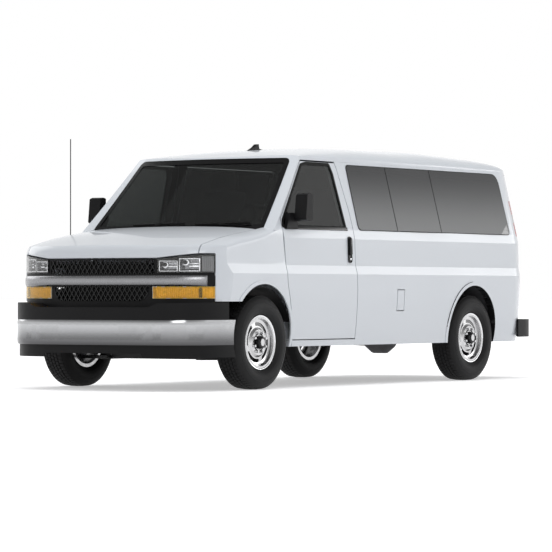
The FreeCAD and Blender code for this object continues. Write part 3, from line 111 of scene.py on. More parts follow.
@dataclass(frozen=True)
class Finish:
    """Look of one surface: colour and gloss, with the fine grain that breaks them up."""

    label: str
    colour: Colour
    roughness: float = 0.5
    metallic: float = 0.0
    grain: Grain = Grain.FINE
    grain_scale: float = 400.0
    grain_strength: float = 0.2
    grain_depth: float = 0.0004
    tone: float = 0.06
    tone_scale: float = 3.0
    gloss_spread: float = 0.04
    coat: float = 0.0
    transmission: float = 0.0
    ior: float = 1.45
    sheen: float = 0.0
    specular: float = 0.5
    # Colour towards the bottom and the heights of its fade; on the bumper, the grille bar and the privacy
    # glass this is painted shade and reflection.
    low_colour: Colour | None = None
    fade: Pair = (0.0, 1.0)

    def material(self) -> bpy.types.Material:
        """Build the node material once and give it to every caller.

        Returns:
            The material with this finish's label.
        """
        found = bpy.data.materials.get(self.label)
        if found is not None:
            return found
        material = bpy.data.materials.new(self.label)
        material.use_nodes = True
        tree = material.node_tree
        shader = tree.nodes["Principled BSDF"]
        for name, value in (
            ("Roughness", self.roughness), ("Metallic", self.metallic), ("IOR", self.ior),
            ("Coat Weight", self.coat), ("Coat Roughness", COAT_ROUGHNESS),
            ("Transmission Weight", self.transmission), ("Sheen Weight", self.sheen),
            ("Specular IOR Level", self.specular),
        ):
            shader.inputs[name].default_value = value
        place = tree.nodes.new("ShaderNodeTexCoord").outputs["Object"]
        tone = self.noise(tree, place, self.tone_scale, TONE_DETAIL)
        self.mix_colour(tree, place, tone, shader.inputs["Base Color"])
        if self.gloss_spread:
            self.spread_gloss(tree, place, shader.inputs["Roughness"])
        if self.grain_strength:
            self.add_grain(tree, place, shader.inputs["Normal"])
        return material

    def spread_gloss(self, tree: bpy.types.NodeTree, place: bpy.types.NodeSocket,
                     target: bpy.types.NodeSocket) -> None:
        """Vary the roughness a little over the surface.

        Args:
            tree: Node tree to add to.
            place: Coordinates to read.
            target: Roughness socket to feed.
        """
        spread = tree.nodes.new("ShaderNodeMapRange")
        low = max(self.roughness - self.gloss_spread, 0.0)
        high = min(self.roughness + self.gloss_spread, 1.0)
        for name, value in zip(("From Min", "From Max", "To Min", "To Max"), (*GLOSS_WINDOW, low, high)):
            spread.inputs[name].default_value = value
        noise = self.noise(tree, place, self.tone_scale * GLOSS_FINENESS, GLOSS_DETAIL)
        tree.links.new(noise, spread.inputs["Value"])
        tree.links.new(spread.outputs["Result"], target)

    def add_grain(self, tree: bpy.types.NodeTree, place: bpy.types.NodeSocket,
                  target: bpy.types.NodeSocket) -> None:
        """Raise the finish's fine grain as a bump.

        Args:
            tree: Node tree to add to.
            place: Coordinates to read.
            target: Normal socket to feed.
        """
        bump = tree.nodes.new("ShaderNodeBump")
        bump.inputs["Strength"].default_value = self.grain_strength
        bump.inputs["Distance"].default_value = self.grain_depth
        tree.links.new(self.height(tree, place), bump.inputs["Height"])
        tree.links.new(bump.outputs["Normal"], target)

    def noise(self, tree: bpy.types.NodeTree, place: bpy.types.NodeSocket, scale: float,
              detail: float) -> bpy.types.NodeSocket:
        """Soft noise over the object's coordinates.

        Args:
            tree: Node tree to add to.
            place: Coordinates to read.
            scale: Cells to the metre.
            detail: Octaves of finer noise.

        Returns:
            The noise value, from 0 to 1.
        """
        node = tree.nodes.new("ShaderNodeTexNoise")
        node.inputs["Scale"].default_value = scale
        node.inputs["Detail"].default_value = detail
        tree.links.new(place, node.inputs["Vector"])
        return node.outputs["Fac"]

    def mix_colour(self, tree: bpy.types.NodeTree, place: bpy.types.NodeSocket,
                   tone: bpy.types.NodeSocket, target: bpy.types.NodeSocket) -> None:
        """Vary the colour a little with the tone noise, and from low to high where the finish fades.

        Args:
            tree: Node tree to add to.
            place: Coordinates to read.
            tone: Noise that moves the colour.
            target: Colour socket to feed.
        """
        mix = tree.nodes.new("ShaderNodeMix")
        mix.data_type = "RGBA"
        dark, light = mix.inputs[6], mix.inputs[7]
        dark.default_value = (*[part * (1 - self.tone) for part in self.colour], 1)
        light.default_value = (*[min(part * (1 + self.tone), 1) for part in self.colour], 1)
        tree.links.new(tone, mix.inputs[0])
        if self.low_colour is None:
            tree.links.new(mix.outputs[2], target)
            return
        # Below the fade the low colour takes over; on the bumper, the grille bar and the privacy glass it
        # is painted shade and reflection.
        split = tree.nodes.new("ShaderNodeSeparateXYZ")
        tree.links.new(place, split.inputs[0])
        rise = tree.nodes.new("ShaderNodeMapRange")
        rise.interpolation_type = "SMOOTHSTEP"
        rise.inputs["From Min"].default_value = self.fade[0]
        rise.inputs["From Max"].default_value = self.fade[1]
        tree.links.new(split.outputs["Z"], rise.inputs["Value"])
        blend = tree.nodes.new("ShaderNodeMix")
        blend.data_type = "RGBA"
        blend.inputs[6].default_value = (*self.low_colour, 1)
        tree.links.new(mix.outputs[2], blend.inputs[7])
        tree.links.new(rise.outputs["Result"], blend.inputs[0])
        tree.links.new(blend.outputs[2], target)

    def height(self, tree: bpy.types.NodeTree, place: bpy.types.NodeSocket) -> bpy.types.NodeSocket:
        """Height field of the grain.

        Args:
            tree: Node tree to add to.
            place: Coordinates to read.

        Returns:
            The height value for the bump.
        """
        if self.grain is Grain.FINE:
            return self.noise(tree, place, self.grain_scale, 2.0)
        if self.grain is Grain.PEBBLE:
            cells = tree.nodes.new("ShaderNodeTexVoronoi")
            cells.feature = "SMOOTH_F1"
            cells.inputs["Scale"].default_value = self.grain_scale
            tree.links.new(place, cells.inputs["Vector"])
            return cells.outputs["Distance"]
        if self.grain is Grain.BRUSHED:
            stretch = tree.nodes.new("ShaderNodeMapping")
            stretch.inputs["Scale"].default_value = BRUSH_STRETCH
            tree.links.new(place, stretch.inputs["Vector"])
            return self.noise(tree, stretch.outputs["Vector"], self.grain_scale, 2.0)
        if self.grain is Grain.CAST:
            return self.noise(tree, place, self.grain_scale, 9.0)
        if self.grain is Grain.PILE:
            return self.noise(tree, place, self.grain_scale, 12.0)
        if self.grain is Grain.FLUTED:
            return self.wave(tree, place, "X")
        crossed = tree.nodes.new("ShaderNodeMath")
        crossed.operation = "MULTIPLY"
        tree.links.new(self.wave(tree, place, "X"), crossed.inputs[0])
        tree.links.new(self.wave(tree, place, "Z"), crossed.inputs[1])
        return crossed.outputs[0]

    def wave(self, tree: bpy.types.NodeTree, place: bpy.types.NodeSocket,
             axis: str) -> bpy.types.NodeSocket:
        """Ridges across one axis.

        Args:
            tree: Node tree to add to.
            place: Coordinates to read.
            axis: X, Y or Z.

        Returns:
            The ridge height.
        """
        node = tree.nodes.new("ShaderNodeTexWave")
        node.bands_direction = axis
        node.inputs["Scale"].default_value = self.grain_scale
        node.inputs["Distortion"].default_value = WAVE_DISTORTION
        tree.links.new(place, node.inputs["Vector"])
        return node.outputs["Fac"]


WHITE_PAINT = Finish("white_paint", (0.64, 0.672, 0.71), 0.3, grain_strength=0.0, tone=0.012,
                     tone_scale=1.2, gloss_spread=0.0, coat=0.6)
UNDERSIDE = Finish("underside_paint", (0.045, 0.045, 0.048), 0.75, grain=Grain.PILE, grain_scale=700,
                   grain_strength=0.5, tone=0.2, low_colour=(0.03, 0.03, 0.032), fade=(0.688, 0.691))
CHASSIS_PAINT = Finish("chassis_paint", (0.018, 0.018, 0.019), 0.48, grain=Grain.CAST,
                       grain_scale=120, tone=0.25)
BRIGHT_METAL = Finish("bright_metal", (0.72, 0.725, 0.735), 0.12, 1.0, Grain.BRUSHED, 90, 0.02,
                      0.00005, tone=0.03, gloss_spread=0.03)
# Darkens towards the bottom between 0.55 m and 0.36 m: painted shade and reflection on the bumper's lower
# face.
BUMPER_METAL = Finish("bumper_metal", (0.46, 0.465, 0.475), 0.18, 1.0, Grain.BRUSHED, 60, 0.01,
                      0.00005, tone=0.02, gloss_spread=0.02, low_colour=(0.085, 0.085, 0.088),
                      fade=(0.36, 0.55))
WORN_STEEL = Finish("worn_steel", (0.34, 0.33, 0.32), 0.42, 1.0, Grain.CAST, 90, 0.25, tone=0.18,
                    gloss_spread=0.1)
WHEEL_METAL = Finish("wheel_metal", (0.56, 0.56, 0.565), 0.24, 1.0, Grain.BRUSHED, 90, 0.03, tone=0.06)
IRON = Finish("cast_iron", (0.07, 0.066, 0.062), 0.62, 0.5, Grain.CAST, 160, 0.6, 0.001, tone=0.25)
TRIM_PLASTIC = Finish("trim_plastic", (0.0085, 0.0085, 0.009), 0.4, grain=Grain.PEBBLE,
                      grain_scale=500, grain_strength=0.15, tone=0.2, specular=0.14)
SMOOTH_BLACK = Finish("smooth_black", (0.006, 0.006, 0.0065), 0.2, grain_scale=120,
                      grain_strength=0.02, grain_depth=0.00005, tone=0.15, specular=0.35)
RUBBER = Finish("seal_rubber", (0.007, 0.007, 0.007), 0.6, grain_scale=500, grain_strength=0.1,
                tone=0.2, specular=0.15)
# Darkens towards the bottom between 0.9 m and 0.835 m: painted shade and reflection on the bar's lower
# part.
SILVER_PAINT = Finish("silver_paint", (0.33, 0.332, 0.345), 0.28, 0.9, grain_strength=0.0, tone=0.03,
                      coat=0.2, low_colour=(0.11, 0.11, 0.114), fade=(0.835, 0.9))
REFLECTOR = Finish("lamp_reflector", (0.24, 0.242, 0.25), 0.26, 1.0, grain_strength=0.0, tone=0.05)
RIBBED_GREY = Finish("ribbed_grey", (0.20, 0.202, 0.205), 0.35, 0.4, Grain.FINE, 300, 0.05, tone=0.08)
WARM_REFLECTOR = Finish("warm_reflector", (0.9, 0.88, 0.8), 0.3, 0.2, Grain.FINE, 200, 0.03, tone=0.1)
CABIN_GREY = Finish("cabin_grey", (0.03, 0.03, 0.032), 0.6, grain=Grain.PEBBLE, grain_scale=500,
                    grain_strength=0.4)
LINING = Finish("cabin_lining", (0.016, 0.016, 0.017), 0.85, grain=Grain.PILE, grain_scale=420,
                grain_strength=0.15, tone=0.12, specular=0.1)
CLOTH = Finish("seat_cloth", (0.045, 0.046, 0.05), 0.9, grain=Grain.WEAVE, grain_scale=260,
               grain_strength=0.5, tone=0.18, tone_scale=30, sheen=0.3)
TYRE_RUBBER = Finish("tyre_rubber", (0.012, 0.012, 0.0125), 0.58, grain_scale=500,
                     grain_strength=0.2, tone=0.2, tone_scale=14, gloss_spread=0.07, specular=0.22)
SCREEN_GLASS = Finish("screen_glass", (0.10, 0.108, 0.106), 0.02, grain_scale=8,
                      grain_strength=0.006, tone=0.01, gloss_spread=0.01, transmission=1.0)
DOOR_GLASS = Finish("door_glass", (0.22, 0.235, 0.23), 0.02, grain_scale=8, grain_strength=0.006,
                    tone=0.01, gloss_spread=0.01, transmission=1.0)
# Lighter towards the bottom of each pane, fading to the dark tint between 1.28 m and 1.88 m: a painted
# reflection; the dark tint itself is the glass's own.
PRIVACY_GLASS = Finish("privacy_glass", (0.035, 0.036, 0.038), 0.05, grain_strength=0.0, tone=0.05,
                       gloss_spread=0.02, transmission=0.12, low_colour=(0.25, 0.255, 0.255),
                       fade=(1.28, 1.88))
LENS_CLEAR = Finish("lens_clear", (0.95, 0.955, 0.96), 0.02, grain_scale=20, grain_strength=0.01,
                    tone=0.01, gloss_spread=0.01, transmission=1.0)
LENS_AMBER = Finish("lens_amber", (1.0, 0.66, 0.05), 0.05, grain=Grain.FLUTED, grain_scale=30,
                    grain_strength=0.06, tone=0.04, transmission=0.94)
LENS_RED = Finish("lens_red", (0.5, 0.008, 0.01), 0.1, grain=Grain.FLUTED, grain_scale=60,
                  grain_strength=0.15, tone=0.04, transmission=0.3)
LENS_FROSTED = Finish("lens_frosted", (0.62, 0.62, 0.62), 0.25, grain=Grain.FLUTED, grain_scale=60,
                      grain_strength=0.2, tone=0.03, transmission=0.3)
PLATE_WHITE = Finish("plate_white", (0.62, 0.62, 0.61), 0.35, grain_scale=120, grain_strength=0.05,
                     tone=0.03)


def station(y: float) -> float:
    """Length along the vehicle, in the part's frame, of a station behind the front axle."""
    return y + AXLE_Y


def clear_selection() -> None:
    """Leave edit mode and deselect every object."""
    if bpy.context.object is not None and bpy.context.object.mode != "OBJECT":
        bpy.ops.object.mode_set(mode="OBJECT")
    bpy.ops.object.select_all(action="DESELECT")


def activate(obj: bpy.types.Object) -> None:
    """Make one object the only selected and active one.

    Args:
        obj: The object.
    """
    clear_selection()
    obj.select_set(True)
    bpy.context.view_layer.objects.active = obj


@contextmanager
def editing(obj: bpy.types.Object, selected: bool = True) -> Iterator[None]:
    """Edit mode on one object.

    Args:
        obj: Object to edit.
        selected: Whether all of it is selected at the start.

    Returns:
        A context that leaves edit mode at its end.
    """
    activate(obj)
    bpy.ops.object.mode_set(mode="EDIT")
    if selected:
        bpy.ops.mesh.select_all(action="SELECT")
    yield
    bpy.ops.object.mode_set(mode="OBJECT")


def pick_faces(obj: bpy.types.Object, test: Callable[[Vector, Vector], bool]) -> int:
    """Select only the faces that pass a test.

    Args:
        obj: Object in object mode.
        test: Takes a face's centre and normal.

    Returns:
        How many faces are selected.
    """
    bpy.context.tool_settings.mesh_select_mode = (False, False, True)
    mesh = obj.data
    for vertex in mesh.vertices:
        vertex.select = False
    for edge in mesh.edges:
        edge.select = False
    count = 0
    for face in mesh.polygons:
        face.select = test(face.center, face.normal)
        count += face.select
    return count


def modify(obj: bpy.types.Object, kind: str, **settings: object) -> None:
    """Add one modifier with its settings and apply it.

    Args:
        obj: Mesh object.
        kind: Modifier type.
        settings: Values by property name.
    """
    activate(obj)
    modifier = obj.modifiers.new(kind.lower(), kind)
    for name, value in settings.items():
        setattr(modifier, name, value)
    bpy.ops.object.modifier_apply(modifier=modifier.name)


def outward(obj: bpy.types.Object, merge: float = 0.00001) -> None:
    """Merge doubles and turn all faces outward.

    Args:
        obj: Mesh object.
        merge: Distance within which points are one.
    """
    with editing(obj):
        bpy.ops.mesh.remove_doubles(threshold=merge)
        bpy.ops.mesh.normals_make_consistent(inside=False)


def finish_piece(obj: bpy.types.Object, name: str, body: str, finish: Finish,
                 smooth: float = 35) -> bpy.types.Object:
    """Settle a piece at the origin, name it, dress it and hang it on its body.

    Args:
        obj: The modelled piece.
        name: Name of the piece.
        body: CAD body that it rides on.
        finish: Its look.
        smooth: Angle in degrees up to which edges are shaded smooth.

    Returns:
        The same object.
    """
    activate(obj)
    bpy.ops.object.transform_apply(location=True, rotation=True, scale=True)
    bpy.ops.object.shade_smooth_by_angle(angle=math.radians(smooth))
    obj.name = name
    obj.data.name = name
    obj.data.materials.clear()
    obj.data.materials.append(finish.material())
    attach(obj, body)
    LOG.info("%s: %d faces on %s", name, len(obj.data.polygons), body)
    return obj


def join(objects: Sequence[bpy.types.Object]) -> bpy.types.Object:
    """Join several objects into the first.

    Args:
        objects: Objects to join.

    Returns:
        The joined object.
    """
    activate(objects[0])
    for obj in objects:
        obj.select_set(True)
    if len(objects) > 1:
        bpy.ops.object.join()
    return objects[0]


def copied(obj: bpy.types.Object) -> bpy.types.Object:
    """Copy of an object with its own mesh and no parent or marks.

    Args:
        obj: Object to copy.

    Returns:
        The copy.
    """
    twin = bpy.data.objects.new(obj.name + "_copy", obj.data.copy())
    bpy.context.scene.collection.objects.link(twin)
    return twin


def rounded(corners: Sequence[Pair], radius: float | Sequence[float], steps: int = 6) -> list[Pair]:
    """Closed flat outline with its corners rounded.

    Args:
        corners: Corner points in order.
        radius: How far from each corner its round starts, for all corners or one by one.
        steps: Points on each round.

    Returns:
        The points of the rounded outline.
    """
    reaches = [radius] * len(corners) if isinstance(radius, (int, float)) else list(radius)
    points: list[Pair] = []
    for index, corner in enumerate(corners):
        here = Vector(corner)
        before = Vector(corners[index - 1]) - here
        after = Vector(corners[(index + 1) % len(corners)]) - here
        reach = min(reaches[index], before.length * 0.49, after.length * 0.49)
        start = here + before.normalized() * reach
        end = here + after.normalized() * reach
        for step in range(steps + 1):
            share = step / steps
            point = start * (1 - share) ** 2 + here * 2 * share * (1 - share) + end * share * share
            points.append((point.x, point.y))
    return points


def grown(corners: Sequence[Pair], margin: float) -> list[Pair]:
    """Outline of corners moved outward from its middle by a margin each way.

    Args:
        corners: Corners of the outline.
        margin: How far they move.

    Returns:
        The moved corners.
    """
    middle_x = (min(x for x, _ in corners) + max(x for x, _ in corners)) / 2
    middle_y = (min(y for _, y in corners) + max(y for _, y in corners)) / 2
    return [(x + math.copysign(margin, x - middle_x), y + math.copysign(margin, y - middle_y))
            for x, y in corners]


def framed(x0: float, x1: float, y0: float, y1: float) -> list[Pair]:
    """Corners of a flat rectangle, in order."""
    return [(x0, y0), (x1, y0), (x1, y1), (x0, y1)]


def plate(points: Sequence[Vector]) -> bpy.types.Object:
    """One flat face through points, from a circle primitive with its rim moved onto them.

    Args:
        points: Corners in order.

    Returns:
        The plate.
    """
    clear_selection()
    bpy.ops.mesh.primitive_circle_add(vertices=len(points), radius=1, fill_type="NGON")
    obj = bpy.context.object
    for vertex, point in zip(obj.data.vertices, points):
        vertex.co = point
    obj.data.update()
    return obj


def prism(points: Sequence[Vector], depth: Vector, bevel: float = 0.0) -> bpy.types.Object:
    """Solid of a flat outline pulled along a direction.

    Args:
        points: Outline.
        depth: Direction and length of the pull.
        bevel: Width of the rounded edges.

    Returns:
        The closed solid.
    """
    obj = plate(points)
    with editing(obj):
        bpy.ops.mesh.extrude_region_move(TRANSFORM_OT_translate={"value": depth})
    outward(obj)
    if bevel:
        modify(obj, "BEVEL", width=bevel, segments=2, limit_method="ANGLE")
    return obj


def sliced(obj: bpy.types.Object, axis: Vector, low: float, high: float, step: float) -> None:
    """Cut a mesh across by evenly spaced planes, so that it can follow a curved surface.

    Args:
        obj: Mesh object.
        axis: Normal of the planes.
        low: First place along the axis.
        high: Last place along the axis.
        step: Distance between planes.
    """
    count = int((high - low) / step)
    with editing(obj):
        for index in range(1, count + 1):
            bpy.ops.mesh.select_all(action="SELECT")
            bpy.ops.mesh.bisect(plane_co=axis * (low + step * index), plane_no=axis)


def ring_of(obj: bpy.types.Object, width: float) -> None:
    """Turn a flat face into a ring of a width.

    Args:
        obj: Object with one face.
        width: Width of the ring.
    """
    with editing(obj):
        bpy.ops.mesh.remove_doubles(threshold=0.0001)
        bpy.ops.mesh.inset(thickness=width, use_even_offset=True)
        bpy.ops.mesh.delete(type="FACE")


def placed(obj: bpy.types.Object, rule: Callable[[Vector], Vector]) -> None:
    """Move every point of a mesh by a rule.

    Args:
        obj: Object with the mesh.
        rule: New place of a point.
    """
    for vertex in obj.data.vertices:
        vertex.co = rule(vertex.co)
    obj.data.update()


def box_block(low: Vector, high: Vector, bevel: float = 0.0, segments: int = 2) -> bpy.types.Object:
    """Block between two corners with rounded edges.

    Args:
        low: Lowest corner.
        high: Highest corner.
        bevel: Width of the rounded edges.
        segments: Faces across each round.

    Returns:
        The block.
    """
    clear_selection()
    bpy.ops.mesh.primitive_cube_add(size=1, location=(low + high) / 2)
    obj = bpy.context.object
    obj.scale = high - low
    bpy.ops.object.transform_apply(location=True, rotation=True, scale=True)
    if bevel:
        modify(obj, "BEVEL", width=bevel, segments=segments, limit_method="ANGLE")
    return obj


def drum(radius: float, start: Vector, end: Vector, sides: int = 32, bevel: float = 0.0,
         top: float | None = None) -> bpy.types.Object:
    """Round bar or cone between two points.

    Args:
        radius: Radius at the start.
        start: Middle of the first end.
        end: Middle of the last end.
        sides: Faces round it.
        bevel: Width of the rounded rims.
        top: Radius at the end, where it differs.

    Returns:
        The bar.
    """
    clear_selection()
    along = end - start
    bpy.ops.mesh.primitive_cone_add(vertices=sides, radius1=radius, radius2=radius if top is None else top,
                                    depth=along.length, location=(start + end) / 2,
                                    rotation=along.to_track_quat("Z", "Y").to_euler())
    obj = bpy.context.object
    bpy.ops.object.transform_apply(location=True, rotation=True, scale=True)
    if bevel:
        modify(obj, "BEVEL", width=bevel, segments=2, limit_method="ANGLE", angle_limit=math.radians(50))
    return obj


def turned(profile: Sequence[Pair], steps: int = 64) -> bpy.types.Object:
    """Shape turned about the X axis from a closed profile.

    Args:
        profile: Offsets along the axis and radii.
        steps: Faces round it.

    Returns:
        The turned solid.
    """
    clear_selection()
    bpy.ops.mesh.primitive_circle_add(vertices=len(profile), radius=1, fill_type="NOTHING")
    obj = bpy.context.object
    for vertex, (along, radius) in zip(obj.data.vertices, profile):
        vertex.co = X_AXIS * along + Z_AXIS * radius
    with editing(obj):
        bpy.ops.mesh.spin(steps=steps, angle=math.tau, center=(0, 0, 0), axis=X_AXIS)
    outward(obj)
    return obj


def repeated(obj: bpy.types.Object, count: int) -> None:
    """Copy a mesh evenly round the X axis.

    Args:
        obj: Object with the mesh.
        count: Copies in the circle.
    """
    with editing(obj):
        bpy.ops.mesh.spin(steps=count - 1, dupli=True, angle=math.tau * (count - 1) / count,
                          center=(0, 0, 0), axis=X_AXIS)


def tube(points: Sequence[Vector], radius: float, sides: int = 5, smooth: bool = True) -> bpy.types.Object:
    """Round bar along a line of points.

    Args:
        points: Line that it follows.
        radius: Radius of the bar.
        sides: Points on a quarter of its round.
        smooth: Whether the line is rounded between its points.

    Returns:
        The bar as a closed mesh.
    """
    clear_selection()
    curve = bpy.data.curves.new("bar", "CURVE")
    curve.dimensions = "3D"
    curve.bevel_depth = radius
    curve.bevel_resolution = sides
    curve.use_fill_caps = True
    line = curve.splines.new("NURBS" if smooth else "POLY")
    line.points.add(len(points) - 1)
    for target, point in zip(line.points, points):
        target.co = (*point, 1)
    if smooth:
        line.order_u = 3
        line.use_endpoint_u = True
    obj = bpy.data.objects.new("bar", curve)
    bpy.context.scene.collection.objects.link(obj)
    activate(obj)
    bpy.ops.object.convert(target="MESH")
    obj = bpy.context.object
    outward(obj)
    return obj


def bezier_value(poles: Sequence[float], share: float) -> float:
    """Value of a cubic Bezier curve.

    Args:
        poles: Its four poles.
        share: Place along it, 0 to 1.

    Returns:
        The value.
    """
    rest = 1 - share
    a, b, c, d = poles
    return a * rest**3 + 3 * b * rest * rest * share + 3 * c * rest * share * share + d * share**3


@dataclass(frozen=True)
class Skin:
    """Outer surface of the cabin's side, the windscreen and the nose."""

    upper_x: tuple[float, ...] = (0.992, 0.989, 0.987, 0.985)
    upper_z: tuple[float, ...] = (1.010, 1.110, 1.190, 1.236)
    belt: Pair = (0.970, 1.316)
    gutter_half: float = 0.820
    gutter_front_z: float = 1.920
    gutter_drop: float = 0.022
    front_station: float = 0.671
    rear_station: float = 4.504
    corner_start: float = 4.136
    corner_x: float = 0.685
    corner_reach_x: float = 0.300
    corner_reach_y: float = 0.370
    screen_base: tuple[float, float, float] = (1.300, 0.160, 0.030)
    screen_top: tuple[float, float, float] = (1.919, 0.671, 0.173)
    screen_half: float = 0.950

    def half_width(self, y: float, z: float) -> float:
        """Half width of the side at a station behind the front axle and a height.

        Args:
            y: Station in metres behind the front axle.
            z: Height, from the side band's top to the gutter.

        Returns:
            Distance from the middle plane.
        """
        belt_x, belt_z = self.belt
        crease_x, crease_z = self.upper_x[3], self.upper_z[3]
        if z >= belt_z:
            share = (y - self.front_station) / (self.rear_station - self.front_station)
            gutter_z = self.gutter_front_z - self.gutter_drop * share
            x = belt_x + (z - belt_z) / (gutter_z - belt_z) * (self.gutter_half - belt_x)
        elif z >= crease_z:
            x = crease_x + (z - crease_z) / (belt_z - crease_z) * (belt_x - crease_x)
        else:
            low, high = 0.0, 1.0
            for _ in range(SEARCH_STEPS):
                middle = (low + high) / 2
                if bezier_value(self.upper_z, middle) < z:
                    low = middle
                else:
                    high = middle
            x = bezier_value(self.upper_x, low)
        along = min(max((y - self.corner_start) / self.corner_reach_y, 0), 0.999)
        closing = self.corner_x + self.corner_reach_x * math.sqrt(1 - along * along)
        return x * closing / (self.corner_x + self.corner_reach_x)

    def screen_station(self, x: float, z: float) -> float:
        """Station of the windscreen's outer surface at a place seen from the front.

        Args:
            x: Distance from the middle.
            z: Height.

        Returns:
            The station.
        """
        bow = (x / self.screen_half) ** 2
        base_z, base_y, base_sag = self.screen_base
        top_z, top_y, top_sag = self.screen_top
        base = base_y + base_sag * bow
        top = top_y + top_sag * bow
        return base + (z - base_z) / (top_z - base_z) * (top - base)


def cast(nodes: Sequence[bpy.types.Object], start: Vector, direction: Vector) -> Vector | None:
    """First point where a ray meets one of some CAD nodes.

    Args:
        nodes: CAD nodes to test.
        start: Where the ray starts.
        direction: Where it goes.

    Returns:
        The nearest point, or None.
    """
    best: Vector | None = None
    for node in nodes:
        hit, point, _, _ = node.ray_cast(start, direction)
        if hit and (best is None or (point - start).length < (best - start).length):
            best = point.copy()
    return best


def face_copy(node: bpy.types.Object, keep: Callable[[Vector, Vector], bool]) -> bpy.types.Object:
    """Copy of the faces of a CAD node that pass a test, merged into one sheet.

    Args:
        node: CAD node to copy from.
        keep: Test of a face's centre and normal.

    Returns:
        The new open sheet.
    """
    sheet = copied(node)
    with editing(sheet):
        bpy.ops.mesh.remove_doubles(threshold=0.00002)
    pick_faces(sheet, lambda centre, normal: not keep(centre, normal))
    with editing(sheet, selected=False):
        bpy.ops.mesh.delete(type="FACE")
    return sheet


@dataclass(frozen=True)
class SoftLamp:
    """Rectangular lamp that looks at the vehicle."""

    label: str
    place: tuple[float, float, float]
    wide: float
    high: float
    power: float
    in_reflections: bool = True

    def build(self, aim: Vector) -> None:
        """Add the lamp, turned towards a point.

        Args:
            aim: Point that it lights.
        """
        clear_selection()
        turn = (aim - Vector(self.place)).to_track_quat("-Z", "Y").to_euler()
        bpy.ops.object.light_add(type="AREA", location=self.place, rotation=turn)
        lamp = bpy.context.object
        lamp.name = "lamp_" + self.label
        lamp.data.shape = "RECTANGLE"
        lamp.data.size = self.wide
        lamp.data.size_y = self.high
        lamp.data.energy = self.power
        lamp.visible_glossy = self.in_reflections


